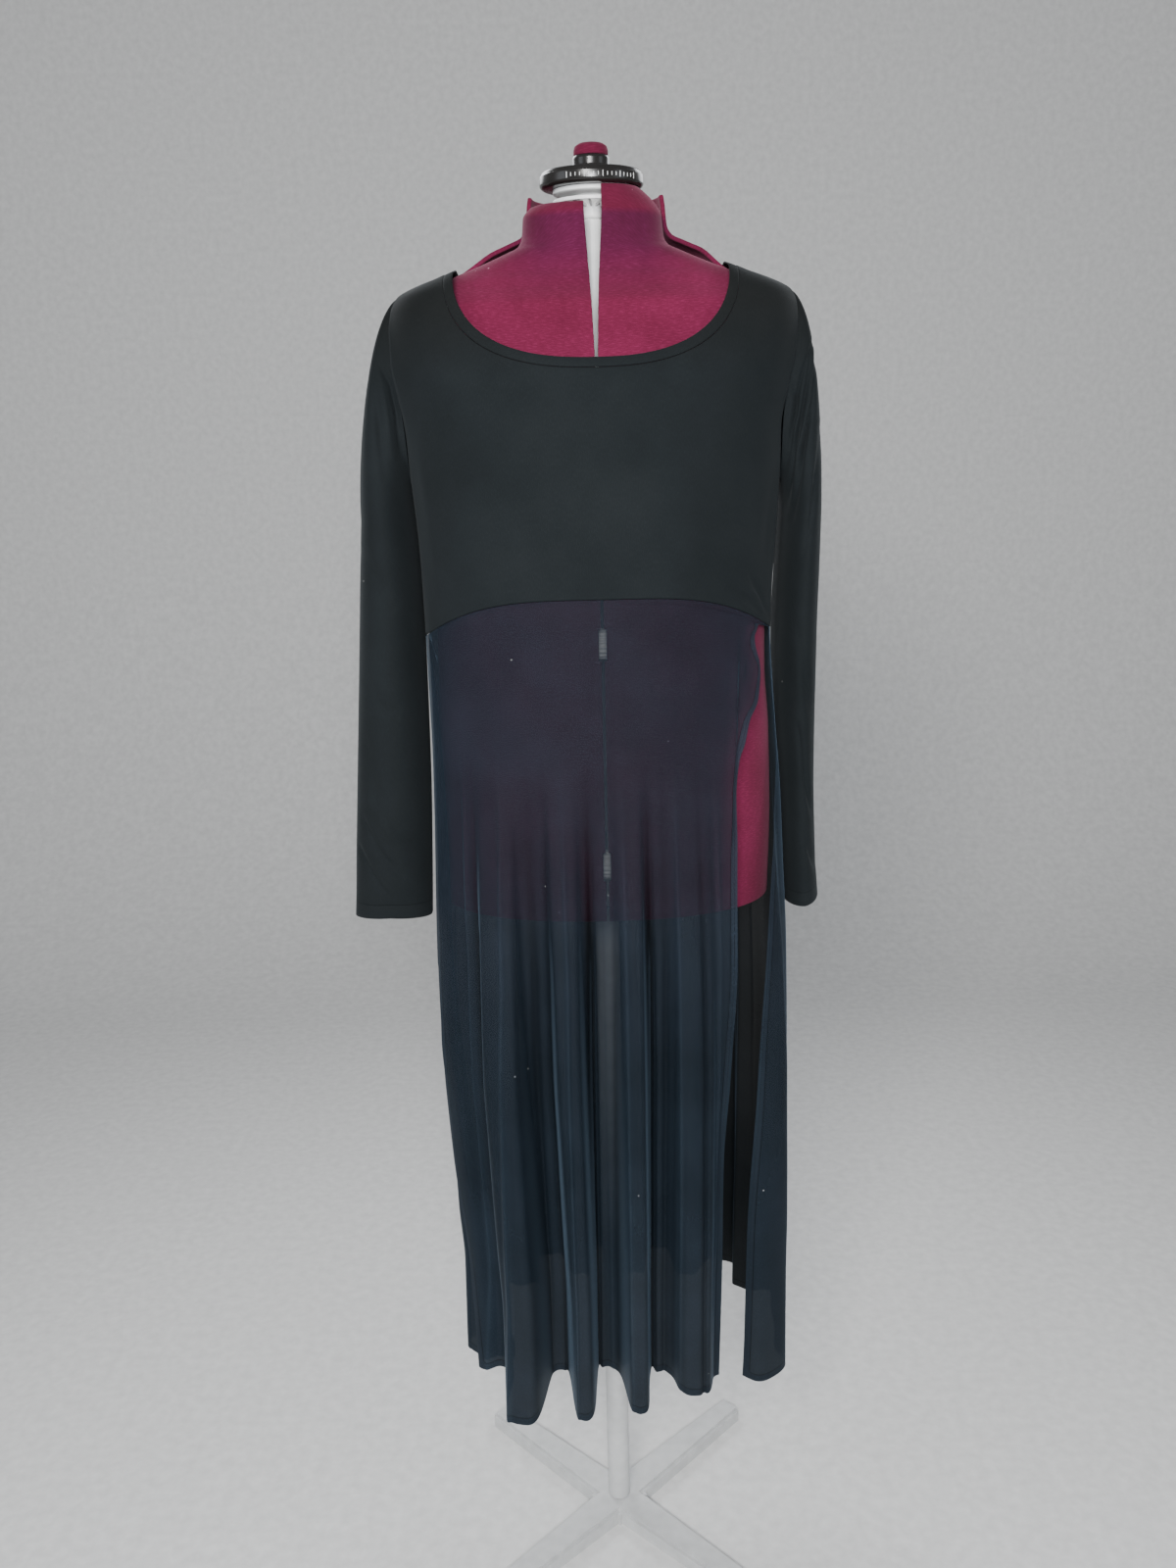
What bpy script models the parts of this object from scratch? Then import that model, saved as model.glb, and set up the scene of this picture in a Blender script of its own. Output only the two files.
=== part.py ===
# A long-sleeve dress with a scooped neck and a slit mesh skirt, on an adjustable dress form.
# Metres, Z up from the floor. The front faces -Y, and +X is the viewer's right.
import math
from collections import namedtuple

import bmesh
import bpy
from mathutils import Vector

# Driving dimensions
SEAM_GAP = 0.0003          # clear space where two pieces meet
SEAM_SPARE = 0.0001        # added to it where a seam curves
CLOTH_WALL = 0.0015
BINDING_WALL = 0.0022
BINDING_WIDTH = 0.0095
ROUNDNESS = 2.3            # exponent of the rounded sections; 2 is an ellipse

HEM_HEIGHT = 0.265
HEM_SIDE_DIP = 0.010       # the hem hangs lower beside the two slits
TUCK_AT_HEM = 0.004        # how much deeper the overlapped edge lies at the hem
HEM_DIP_START = 5.0        # degrees from the front middle
HEM_DIP_END = 95.0
TUCK_START = 14.0          # degrees before the front panel's edge, and over how many
TUCK_TURN = 10.0
TUCK_ROOM = 0.0012         # between the two panels where they overlap
HEM_VALLEY_RISE = 0.014    # the hem hangs a little higher between two flutes
FULL_FLUTE = 0.080         # a flute this far out reaches the full hem
NECK_LEFT = 0.1425         # sideways reach of the neck edge on each shoulder
NECK_RIGHT = 0.1360
NECK_FRONT_DROP = 0.0945
NECK_BACK_DROP = 0.045
NECK_SQUARENESS = 2.5
SHOULDER_TIP_HEIGHT = 1.516
UNDERARM_HEIGHT = 1.325
ARMHOLE_FRONT_ANGLE = 13.0
ARMHOLE_BACK_ANGLE = 14.0
ARMHOLE_STEP = 0.00105     # from the bodice wall out to the sleeve's first ring
CAP_FULLNESS = 0.30        # how far the sleeve cap stands out before it falls
CAP_LEAN = 0.35            # how much it drops on the way out
CAP_FALL = 1.15
SIDE_SEAM_SHARE = 0.32     # of the bodice's side edge; the rest is the armhole
WAIST_SEAM_FRONT = 1.2146
WAIST_SEAM_BACK = 1.195
WAIST_SEAM_SIDE = 1.164
WAIST_SEAM_SWEEP = 3.0     # exponent that keeps the seam level across the middle

FORM_SPLIT_GAP = 0.004     # between the front and back quarters, each side of the middle
FRONT_LEFT_TOP = 1.600
FRONT_RIGHT_TOP = 1.609
BACK_TOP = 1.600
BACK_RISE = 0.012          # how far the back quarters stand higher at the neck
BACK_SHIFT = 0.004         # how far they stand to the right there
RISE_START = 1.5335
RISE_END = 1.549
POST_RADIUS = 0.0105
POLE_RADIUS = 0.014
POLE_EDGE = 0.001          # rounding of the post's and the pole's ends
POLE_TOP = 0.840
BASE_REACH = 0.235         # of each of the four legs, from the middle
BASE_HEIGHT = 0.020
BASE_EDGE = 0.004
LEG_ROOT = 0.044           # leg width at the middle and at the end
LEG_END = 0.030
LEG_TURN = 45.0            # degrees from the front
RING_RADIUS = 0.0535
RING_BOTTOM = 1.6115
RING_TOP = 1.634
RING_EDGE = 0.006
HUB_RADIUS = 0.040
HUB_BOTTOM = 1.5885
HUB_EDGE = 0.003
COLLAR_RADIUS = 0.0195
COLLAR_TOP = 1.6525
COLLAR_EDGE = 0.003
CAP_RADIUS = 0.0170
CAP_TOP = 1.6620
CAP_RIM = 0.003            # straight part under the cap's dome
WHEEL_RADIUS = 0.016
WHEEL_WIDTH = 0.008
WHEEL_NOTCH = 0.0008
WHEEL_STEPS = 32
WHEEL_PROUD = 0.0015       # how far the wheel stands out of the quarters
WHEEL_ROOM = 0.001
WHEEL_ROOM_STEP = 0.002    # height over which the gap widens round a wheel
WHEEL_HEIGHTS = (1.165, 0.923)
BAR_WIDTH = 0.0024
BAR_HEIGHT = 0.020
BACK_BAR_SHARE = 0.8       # of the back quarters' depth

# Sections of the hanging cloth, from the shoulder to the hem
Section = namedtuple("Section", "height left right front back")
DRESS_SECTIONS = [
    Section(0.250, 0.1630, 0.2010, 0.0920, 0.100),
    Section(0.390, 0.1650, 0.2040, 0.0950, 0.108),
    Section(0.470, 0.1720, 0.2060, 0.1000, 0.114),
    Section(0.600, 0.1830, 0.2080, 0.1080, 0.124),
    Section(0.690, 0.1900, 0.2095, 0.1150, 0.131),
    Section(0.800, 0.1920, 0.2070, 0.1240, 0.140),
    Section(0.900, 0.1930, 0.2030, 0.1310, 0.146),
    Section(0.980, 0.1930, 0.1990, 0.1350, 0.144),
    Section(1.100, 0.1930, 0.1900, 0.1440, 0.130),
    Section(1.164, 0.1930, 0.1860, 0.1520, 0.124),
    Section(1.210, 0.1935, 0.1870, 0.1570, 0.121),
    Section(1.260, 0.1950, 0.1910, 0.1590, 0.121),
    Section(1.332, 0.2010, 0.1960, 0.1560, 0.122),
    Section(1.384, 0.2060, 0.1990, 0.1440, 0.122),
    Section(1.420, 0.2120, 0.2050, 0.1310, 0.120),
    Section(1.450, 0.2170, 0.2120, 0.1190, 0.117),
    Section(1.480, 0.2165, 0.2140, 0.1080, 0.112),
    Section(1.500, 0.2130, 0.2120, 0.1000, 0.107),
    Section(1.512, 0.2075, 0.2075, 0.0950, 0.103),
    Section(1.516, 0.2040, 0.2040, 0.0930, 0.101),
    Section(1.520, 0.1975, 0.1975, 0.0910, 0.099),
    Section(1.527, 0.1820, 0.1820, 0.0880, 0.095),
    Section(1.5345, 0.1620, 0.1620, 0.0840, 0.091),
    Section(1.5415, 0.1425, 0.1425, 0.0800, 0.086),
    Section(1.548, 0.1260, 0.1260, 0.0770, 0.082),
]

# Flutes round the hem: angle from the front middle (+ to the viewer's right) and how far out
Flute = namedtuple("Flute", "angle out")
FLUTES = [
    Flute(-100, 0.004), Flute(-64, 0.030), Flute(-50, 0.010), Flute(-34, 0.083),
    Flute(-21, 0.000), Flute(-12.0, 0.075), Flute(-2.5, -0.006), Flute(5.2, 0.068),
    Flute(11, 0.006), Flute(24, 0.044), Flute(36, 0.016), Flute(53, 0.042),
    Flute(76, 0.012), Flute(92, 0.006), Flute(112, 0.030), Flute(126, 0.004),
    Flute(142, 0.066), Flute(154, 0.006), Flute(165, 0.084), Flute(174, 0.004),
    Flute(183, 0.088), Flute(193, 0.006), Flute(206, 0.080), Flute(219, 0.004),
    Flute(236, 0.040), Flute(260, 0.000),
]
Growth = namedtuple("Growth", "height share")
FLUTE_GROWTH = [
    Growth(0.250, 1.00), Growth(0.450, 0.84), Growth(0.650, 0.62), Growth(0.800, 0.40),
    Growth(0.900, 0.22), Growth(0.980, 0.08), Growth(1.060, 0.00), Growth(1.560, 0.00),
]

# Edges of the two skirt panels, as sideways places at each height (all on the front half)
SlitEdge = namedtuple("SlitEdge", "height front_right back_right front_left back_left")
SLIT_EDGES = [
    SlitEdge(0.250, 0.118, 0.130, -0.146, -0.126),
    SlitEdge(0.400, 0.122, 0.146, -0.153, -0.134),
    SlitEdge(0.540, 0.124, 0.164, -0.169, -0.150),
    SlitEdge(0.640, 0.131, 0.176, -0.177, -0.159),
    SlitEdge(0.780, 0.141, 0.193, -0.184, -0.168),
    SlitEdge(0.900, 0.143, 0.1990, -0.187, -0.172),
    SlitEdge(1.020, 0.152, 0.1955, -0.190, -0.178),
    SlitEdge(1.090, 0.168, 0.1900, -0.191, -0.182),
    SlitEdge(1.130, 0.174, 0.1880, -0.192, -0.186),
    SlitEdge(1.164, 0.184, 0.1862, -0.193, -0.1925),
]

# Sections of the form; back quarters use the same rows, lifted towards the neck
FormSection = namedtuple("FormSection", "height half front back hollow gap")
FORM_SECTIONS = [
    FormSection(0.862, 0.181, 0.118, 0.130, 0.28, 0.0015),
    FormSection(0.950, 0.184, 0.119, 0.134, 0.28, 0.0015),
    FormSection(1.050, 0.178, 0.120, 0.120, 0.28, 0.0015),
    FormSection(1.120, 0.177, 0.126, 0.112, 0.28, 0.0015),
    FormSection(1.200, 0.180, 0.140, 0.110, 0.28, 0.0015),
    FormSection(1.280, 0.184, 0.149, 0.112, 0.28, 0.0015),
    FormSection(1.340, 0.187, 0.144, 0.114, 0.28, 0.0015),
    FormSection(1.400, 0.190, 0.128, 0.113, 0.28, 0.0015),
    FormSection(1.450, 0.193, 0.110, 0.109, 0.28, 0.0017),
    FormSection(1.480, 0.194, 0.099, 0.104, 0.28, 0.0026),
    FormSection(1.502, 0.192, 0.091, 0.098, 0.28, 0.0034),
    FormSection(1.5105, 0.185, 0.080, 0.092, 0.28, 0.0039),
    FormSection(1.5185, 0.174, 0.071, 0.083, 0.28, 0.0043),
    FormSection(1.5286, 0.157, 0.067, 0.075, 0.28, 0.0048),
    FormSection(1.5362, 0.141, 0.063, 0.071, 0.29, 0.0054),
    FormSection(1.5420, 0.125, 0.062, 0.070, 0.32, 0.0059),
    FormSection(1.5490, 0.107, 0.062, 0.070, 0.36, 0.0063),
    FormSection(1.5560, 0.090, 0.062, 0.070, 0.43, 0.0068),
    FormSection(1.5610, 0.079, 0.062, 0.071, 0.52, 0.0072),
    FormSection(1.5690, 0.074, 0.0615, 0.071, 0.72, 0.0078),
    FormSection(1.5800, 0.0725, 0.0605, 0.071, 0.80, 0.0085),
    FormSection(1.5930, 0.0715, 0.0605, 0.0710, 0.83, 0.0093),
    FormSection(1.6015, 0.0690, 0.0580, 0.0700, 0.86, 0.0101),
    FormSection(1.6090, 0.0585, 0.0480, 0.0690, 0.88, 0.0110),
]

# Sections of the hanging sleeves, measured outwards from the middle of the dress
Tube = namedtuple("Tube", "height inner outer front back")
LEFT_SLEEVE = [
    Tube(1.290, 0.2010, 0.2560, -0.064, 0.058),
    Tube(1.230, 0.1975, 0.2610, -0.064, 0.056),
    Tube(1.160, 0.1970, 0.2665, -0.062, 0.053),
    Tube(1.080, 0.1975, 0.2730, -0.059, 0.050),
    Tube(1.000, 0.1985, 0.2795, -0.055, 0.045),
    Tube(0.920, 0.2010, 0.2860, -0.048, 0.038),
    Tube(0.860, 0.2035, 0.2905, -0.040, 0.031),
    Tube(0.838, 0.2045, 0.2925, -0.036, 0.027),
]
RIGHT_SLEEVE = [
    Tube(1.290, 0.2020, 0.2420, -0.052, 0.080),
    Tube(1.230, 0.2010, 0.2415, -0.050, 0.083),
    Tube(1.160, 0.2020, 0.2405, -0.046, 0.084),
    Tube(1.080, 0.2060, 0.2405, -0.040, 0.084),
    Tube(1.000, 0.2095, 0.2410, -0.032, 0.082),
    Tube(0.920, 0.2130, 0.2440, -0.024, 0.077),
    Tube(0.860, 0.2160, 0.2480, -0.016, 0.072),
    Tube(0.838, 0.2165, 0.2500, -0.012, 0.070),
]

# Colours and finishes
Finish = namedtuple("Finish", "colour roughness metallic")
JERSEY = Finish((0.018, 0.022, 0.021), 0.85, 0.0)
MESH = Finish((0.012, 0.017, 0.028), 0.75, 0.0)
FELT = Finish((0.130, 0.008, 0.028), 0.90, 0.0)
BLACK_GLOSS = Finish((0.010, 0.010, 0.010), 0.15, 0.0)
WHITE_PLASTIC = Finish((0.780, 0.780, 0.760), 0.40, 0.0)
PALE_METAL = Finish((0.600, 0.610, 0.610), 0.42, 0.0)

# How finely each piece is divided
NECK_COLUMNS = 11
SHOULDER_COLUMNS = 3
BODICE_ROWS = 12
BODICE_ROW_CROWDING = 1.5  # rows lie closer near the shoulder
SKIRT_COLUMNS_FRONT = 44
SKIRT_COLUMNS_BACK = 52
SKIRT_ROWS = 12
SLEEVE_POINTS = 22
CAP_RINGS = 6
FORM_ARC_POINTS = 8
LATHE_STEPS = 32


def clear_scene():
    for thing in list(bpy.data.objects):
        bpy.data.objects.remove(thing, do_unlink=True)


def material(name, finish):
    made = bpy.data.materials.get(name) or bpy.data.materials.new(name)
    made.use_nodes = True
    shader = made.node_tree.nodes["Principled BSDF"]
    shader.inputs["Base Color"].default_value = (*finish.colour, 1.0)
    shader.inputs["Roughness"].default_value = finish.roughness
    shader.inputs["Metallic"].default_value = finish.metallic
    made.diffuse_color = (*finish.colour, 1.0)
    return made


def smooth_value(pairs, place):
    """Value at a place, smooth through (place, value) pairs and never past them."""
    if place <= pairs[0][0]:
        return pairs[0][1]
    if place >= pairs[-1][0]:
        return pairs[-1][1]
    spot = max(i for i in range(len(pairs) - 1) if pairs[i][0] <= place)
    slopes = []
    for i in (spot, spot + 1):
        near = [
            (pairs[j + 1][1] - pairs[j][1]) / (pairs[j + 1][0] - pairs[j][0])
            for j in (i - 1, i)
            if 0 <= j < len(pairs) - 1
        ]
        level = len(near) == 2 and near[0] * near[1] <= 0.0
        slopes.append(0.0 if level else len(near) / sum(1.0 / value if value else 1e12 for value in near))
    start, end = pairs[spot], pairs[spot + 1]
    span = end[0] - start[0]
    t = (place - start[0]) / span
    return (
        (2 * t**3 - 3 * t**2 + 1) * start[1]
        + (t**3 - 2 * t**2 + t) * span * slopes[0]
        + (3 * t**2 - 2 * t**3) * end[1]
        + (t**3 - t**2) * span * slopes[1]
    )


def column(rows, name, height):
    ordered = sorted((row.height, getattr(row, name)) for row in rows)
    return smooth_value(ordered, height)


def power(value, exponent):
    return math.copysign(abs(value) ** exponent, value)


def wave(rows, angle):
    """Half cosine waves through rows of (angle, out)."""
    for low, high in zip(rows, rows[1:]):
        if low.angle <= angle <= high.angle:
            share = (angle - low.angle) / (high.angle - low.angle)
            return low.out + (high.out - low.out) * (0.5 - 0.5 * math.cos(math.pi * share))
    return 0.0


def dress_size(height):
    return {name: column(DRESS_SECTIONS, name, height) for name in ("left", "right", "front", "back")}


def flute_out(angle):
    """How far the hem stands out of the plain section at an angle."""
    return wave(FLUTES, (angle + 100.0) % 360.0 - 100.0)


def dress_point(angle, height):
    """Point on the middle of the cloth at an angle in degrees from the front middle."""
    size = dress_size(height)
    turn = math.radians(angle)
    side, ahead = math.sin(turn), math.cos(turn)
    half = size["right"] if side >= 0 else size["left"]
    depth = size["front"] if ahead >= 0 else size["back"]
    place = Vector((half * power(side, 2 / ROUNDNESS), -depth * power(ahead, 2 / ROUNDNESS), height))
    out = flute_out(angle) * column(FLUTE_GROWTH, "share", height)
    outward = Vector((side**3, -ahead, 0.0)).normalized()
    return place + outward * out


def dress_normal(angle, height):
    across = dress_point(angle + 0.4, height) - dress_point(angle - 0.4, height)
    upward = dress_point(angle, height + 0.002) - dress_point(angle, height - 0.002)
    return across.cross(upward).normalized()


def angle_at(sideways, height):
    """Angle whose section point lies this far sideways, on the front half."""
    size = dress_size(height)
    half = size["right"] if sideways >= 0 else size["left"]
    share = min(abs(sideways) / half, 1.0) ** (ROUNDNESS / 2)
    return math.copysign(math.degrees(math.asin(share)), sideways)


def seam_lean(height, front):
    """Angle short of the side line that leaves half a seam gap there."""
    depth = column(DRESS_SECTIONS, "front" if front else "back", height)
    half_gap = 0.5 * SEAM_GAP + SEAM_SPARE
    return math.degrees(math.asin((half_gap / depth) ** (ROUNDNESS / 2)))


def waist_height(angle):
    reach = abs(math.sin(math.radians(angle))) ** WAIST_SEAM_SWEEP
    middle = WAIST_SEAM_FRONT if math.cos(math.radians(angle)) >= 0 else WAIST_SEAM_BACK
    return middle + (WAIST_SEAM_SIDE - middle) * reach


def add_piece(name, mesh_data, finish_name, finish, smooth_angle=40.0):
    mesh = bpy.data.meshes.new(name)
    bmesh.ops.recalc_face_normals(mesh_data, faces=mesh_data.faces)
    mesh_data.to_mesh(mesh)
    mesh_data.free()
    mesh.shade_smooth()
    mesh.set_sharp_from_angle(angle=math.radians(smooth_angle))
    mesh.materials.append(material(finish_name, finish))
    made = bpy.data.objects.new(name, mesh)
    bpy.context.scene.collection.objects.link(made)
    return made


def wall_from_grid(outer, inner, closed):
    """Closed wall between two grids of points; a closed grid joins its last column to its first."""
    shape = bmesh.new()
    faces = [[[shape.verts.new(p) for p in row] for row in grid] for grid in (outer, inner)]
    rows, columns = len(outer), len(outer[0])
    steps = columns if closed else columns - 1
    for grid in faces:
        for r in range(rows - 1):
            for c in range(steps):
                n = (c + 1) % columns
                shape.faces.new((grid[r][c], grid[r][n], grid[r + 1][n], grid[r + 1][c]))
    for r in (0, rows - 1):
        for c in range(steps):
            n = (c + 1) % columns
            shape.faces.new((faces[0][r][c], faces[0][r][n], faces[1][r][n], faces[1][r][c]))
    if not closed:
        for c in (0, columns - 1):
            for r in range(rows - 1):
                shape.faces.new((faces[0][r][c], faces[0][r + 1][c], faces[1][r + 1][c], faces[1][r][c]))
    return shape


def cloth_from_places(places, wall, inset=None):
    """Wall on the dress surface; places is a grid of (angle, height)."""
    outer, inner = [], []
    for row in places:
        outer.append([])
        inner.append([])
        for angle, height in row:
            point, normal = dress_point(angle, height), dress_normal(angle, height)
            if inset:
                point = point - normal * inset(angle, height)
            outer[-1].append(point + normal * wall / 2)
            inner[-1].append(point - normal * wall / 2)
    return wall_from_grid(outer, inner, closed=False)


def neckline_place(share, side, front, width):
    """Angle and height on the neck edge: share 0 in the middle and 1 on the shoulder."""
    turn = share * math.pi / 2
    drop = NECK_FRONT_DROP if front else NECK_BACK_DROP
    reach = (NECK_RIGHT if side > 0 else NECK_LEFT) + width
    top = shoulder_height(reach)
    low = shoulder_height(NECK_LEFT) - drop - width
    sideways = reach * math.sin(turn) ** (2 / NECK_SQUARENESS)
    height = top - (top - low) * math.cos(turn) ** (2 / NECK_SQUARENESS)
    angle = abs(angle_at(side * sideways, height))
    lean = 90.0 - seam_lean(height, front)
    return min(angle, lean), height


def shoulder_height(sideways):
    """Height on the shoulder seam at this distance from the middle."""
    upper = [(row.right, row.height) for row in DRESS_SECTIONS if row.height >= SHOULDER_TIP_HEIGHT]
    return smooth_value(sorted(upper), sideways)


def armhole_place(turn, front):
    """Angle and height on the armhole: turn 0 at the shoulder and 180 under the arm."""
    middle = (SHOULDER_TIP_HEIGHT + UNDERARM_HEIGHT) / 2
    reach = (SHOULDER_TIP_HEIGHT - UNDERARM_HEIGHT) / 2
    height = middle + reach * math.cos(math.radians(turn))
    widest = ARMHOLE_FRONT_ANGLE if front else ARMHOLE_BACK_ANGLE
    lean = max(widest * math.sin(math.radians(turn)), seam_lean(height, front))
    return 90.0 - lean, height


def bodice_side(share, low, front):
    """Angle and height on the side seam and then up the armhole."""
    if share < SIDE_SEAM_SHARE:
        height = low + (UNDERARM_HEIGHT - low) * share / SIDE_SEAM_SHARE
        return 90.0 - seam_lean(height, front), height
    return armhole_place(180.0 * (1 - share) / (1 - SIDE_SEAM_SHARE), front)


def bodice_half(front, side):
    """Grid of (angle, height) from the middle to the side, as a patch between its four edges."""
    width = BINDING_WIDTH + SEAM_GAP
    neck = [neckline_place(i / NECK_COLUMNS, side, front, width) for i in range(NECK_COLUMNS + 1)]
    neck_end = (NECK_RIGHT if side > 0 else NECK_LEFT) + width
    tip = column(DRESS_SECTIONS, "right", SHOULDER_TIP_HEIGHT)
    for i in range(1, SHOULDER_COLUMNS + 1):
        height = shoulder_height(neck_end + (tip - neck_end) * i / SHOULDER_COLUMNS)
        neck.append((90.0 - seam_lean(height, front), height))
    columns = len(neck)
    lift = SEAM_GAP / 2 + SEAM_SPARE
    corner = 90.0 - seam_lean(WAIST_SEAM_SIDE, front)
    bottom = [(corner * c / (columns - 1), 0.0) for c in range(columns)]
    bottom = [(angle, waist_height(angle if front else 180.0 - angle) + lift) for angle, _ in bottom]
    grid = []
    for r in range(BODICE_ROWS + 1):
        v = 1 - (1 - r / BODICE_ROWS) ** BODICE_ROW_CROWDING
        middle = (0.0, bottom[0][1] + (neck[0][1] - bottom[0][1]) * v)
        edge = bodice_side(v, bottom[-1][1], front)
        line = []
        for c in range(columns):
            u = c / (columns - 1)
            place = []
            for k in (0, 1):
                ruled_up = (1 - v) * bottom[c][k] + v * neck[c][k]
                ruled_across = (1 - u) * middle[k] + u * edge[k]
                corners = (
                    (1 - u) * (1 - v) * bottom[0][k] + u * (1 - v) * bottom[-1][k]
                    + (1 - u) * v * neck[0][k] + u * v * neck[-1][k]
                )
                place.append(ruled_up + ruled_across - corners)
            line.append(tuple(place))
        grid.append(line)
    return grid


def make_bodice(front):
    places = []
    for left, right in zip(bodice_half(front, -1), bodice_half(front, 1)):
        if front:
            line = [(-angle, height) for angle, height in reversed(left[1:])] + right
        else:
            line = [(180.0 - angle, height) for angle, height in reversed(right[1:])]
            line += [(180.0 + angle, height) for angle, height in left]
        places.append(line)
    name = "bodice_front" if front else "bodice_back"
    return add_piece(name, cloth_from_places(places, CLOTH_WALL), "jersey", JERSEY)


def make_binding():
    """One strip round the whole neck edge, a little thicker than the panels."""
    outer, inner = [[], []], [[], []]
    count = 2 * NECK_COLUMNS
    for i in range(2 * count):
        front = i < count
        share = (1 - 2 * i / count) if front else (2 * i / count - 3)
        side = -1 if share > 0 else 1
        for k, width in enumerate((0.0, BINDING_WIDTH)):
            angle, height = neckline_place(abs(share), side, front, width)
            if abs(share) == 1:
                angle = 90.0
            if not front:
                angle = 180.0 - angle
            point = dress_point(side * angle, height)
            normal = dress_normal(side * angle, height)
            outer[k].append(point + normal * (BINDING_WALL - CLOTH_WALL / 2))
            inner[k].append(point - normal * CLOTH_WALL / 2)
    shape = wall_from_grid(outer, inner, closed=True)
    return add_piece("neck_binding", shape, "jersey", JERSEY)


def hem_height(angle):
    """Lowest in the flutes and beside the two slits."""
    swing = min(max(flute_out(angle) / FULL_FLUTE, 0.0), 1.0)
    height = HEM_HEIGHT + HEM_VALLEY_RISE * (1 - swing)
    if HEM_DIP_START < abs(angle) < HEM_DIP_END:
        height -= HEM_SIDE_DIP * math.sin(math.radians(2 * (abs(angle) - HEM_DIP_START))) ** 2
    return height


def skirt_places(front):
    """Grid of (angle, height) between the panel's two slit edges."""
    columns = SKIRT_COLUMNS_FRONT if front else SKIRT_COLUMNS_BACK
    places = []
    for r in range(SKIRT_ROWS + 1):
        share = r / SKIRT_ROWS
        line = []
        for c in range(columns + 1):
            u = c / columns
            height = WAIST_SEAM_SIDE + (HEM_HEIGHT - WAIST_SEAM_SIDE) * share
            names = ("front_left", "front_right") if front else ("back_right", "back_left")
            ends = [angle_at(column(SLIT_EDGES, name, height), height) for name in names]
            if not front:
                ends[1] += 360.0
            angle = ends[0] + (ends[1] - ends[0]) * u
            top = waist_height(angle) - SEAM_GAP / 2 - SEAM_SPARE
            line.append((angle, top + (hem_height(angle) - top) * share))
        places.append(line)
    return places


def make_skirt(front):
    def tuck(angle, height):
        """The back panel's left edge runs under the front panel's edge."""
        if front:
            return 0.0
        edge = 360.0 + angle_at(column(SLIT_EDGES, "front_left", height), height)
        share = min(max((angle - edge + TUCK_START) / TUCK_TURN, 0.0), 1.0)
        depth = CLOTH_WALL + TUCK_ROOM + TUCK_AT_HEM * column(FLUTE_GROWTH, "share", height)
        return depth * share * share * (3 - 2 * share)

    name = "skirt_front" if front else "skirt_back"
    return add_piece(name, cloth_from_places(skirt_places(front), CLOTH_WALL, tuck), "mesh", MESH)


def sleeve_ring(tube, side):
    centre = Vector((side * (tube.inner + tube.outer) / 2, (tube.front + tube.back) / 2, tube.height))
    across = side * (tube.outer - tube.inner) / 2
    deep = (tube.back - tube.front) / 2
    ring = []
    for i in range(SLEEVE_POINTS):
        turn = 2 * math.pi * i / SLEEVE_POINTS
        ring.append(centre + Vector((across * math.cos(turn), -deep * math.sin(turn), 0.0)))
    return ring


def armhole_ring(side):
    """Ring just outside the bodice wall, starting on the shoulder and passing the front."""
    ring = []
    for i in range(SLEEVE_POINTS):
        turn = 360.0 * i / SLEEVE_POINTS
        front = turn <= 180.0
        angle, height = armhole_place(turn if front else 360.0 - turn, front)
        if turn in (0.0, 180.0):
            angle = 90.0
        signed = side * (angle if front else 180.0 - angle)
        normal = dress_normal(signed, height)
        step = ARMHOLE_STEP + abs(normal.x) * CLOTH_WALL / 2
        ring.append(dress_point(signed, height) + Vector((side * step, 0.0, 0.0)))
    return ring


def make_sleeve(name, rows, side):
    start = armhole_ring(side)
    first = sleeve_ring(rows[0], side)
    rings = []
    for k in range(CAP_RINGS):
        t = k / CAP_RINGS
        ring = []
        for i, (near, far) in enumerate(zip(start, first)):
            reach = (far - near).length
            outward = Vector((side, 0.0, -CAP_LEAN)) * reach * CAP_FULLNESS
            downward = Vector((0.0, 0.0, -1.0)) * reach * CAP_FALL
            ring.append(
                near * (2 * t**3 - 3 * t**2 + 1) + outward * (t**3 - 2 * t**2 + t)
                + far * (3 * t**2 - 2 * t**3) + downward * (t**3 - t**2)
            )
        rings.append(ring)
    rings += [sleeve_ring(row, side) for row in rows]
    outer, inner = [], []
    for r, ring in enumerate(rings):
        before, after = rings[max(r - 1, 0)], rings[min(r + 1, len(rings) - 1)]
        outer.append([])
        inner.append([])
        for i, point in enumerate(ring):
            around = ring[(i + 1) % SLEEVE_POINTS] - ring[i - 1]
            along = after[i] - before[i]
            normal = around.cross(along).normalized() * -side
            outer[-1].append(point + normal * CLOTH_WALL / 2)
            inner[-1].append(point - normal * CLOTH_WALL / 2)
    return add_piece(name, wall_from_grid(outer, inner, closed=True), "jersey", JERSEY)


def form_heights(front, top):
    heights = [row.height for row in FORM_SECTIONS if row.height < top]
    if front:
        for middle in WHEEL_HEIGHTS:
            near = WHEEL_RADIUS + WHEEL_ROOM
            far = near + WHEEL_ROOM_STEP
            heights += [middle - far, middle - near, middle + near, middle + far]
    return sorted(set(heights)) + [top]


def gap_half(height, front):
    """Half of the gap in the middle, opened round each setting wheel."""
    value = column(FORM_SECTIONS, "gap", height)
    if front:
        for middle in WHEEL_HEIGHTS:
            if abs(height - middle) <= WHEEL_RADIUS + WHEEL_ROOM + SEAM_SPARE:
                value = WHEEL_WIDTH / 2 + SEAM_GAP
    return value


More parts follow.
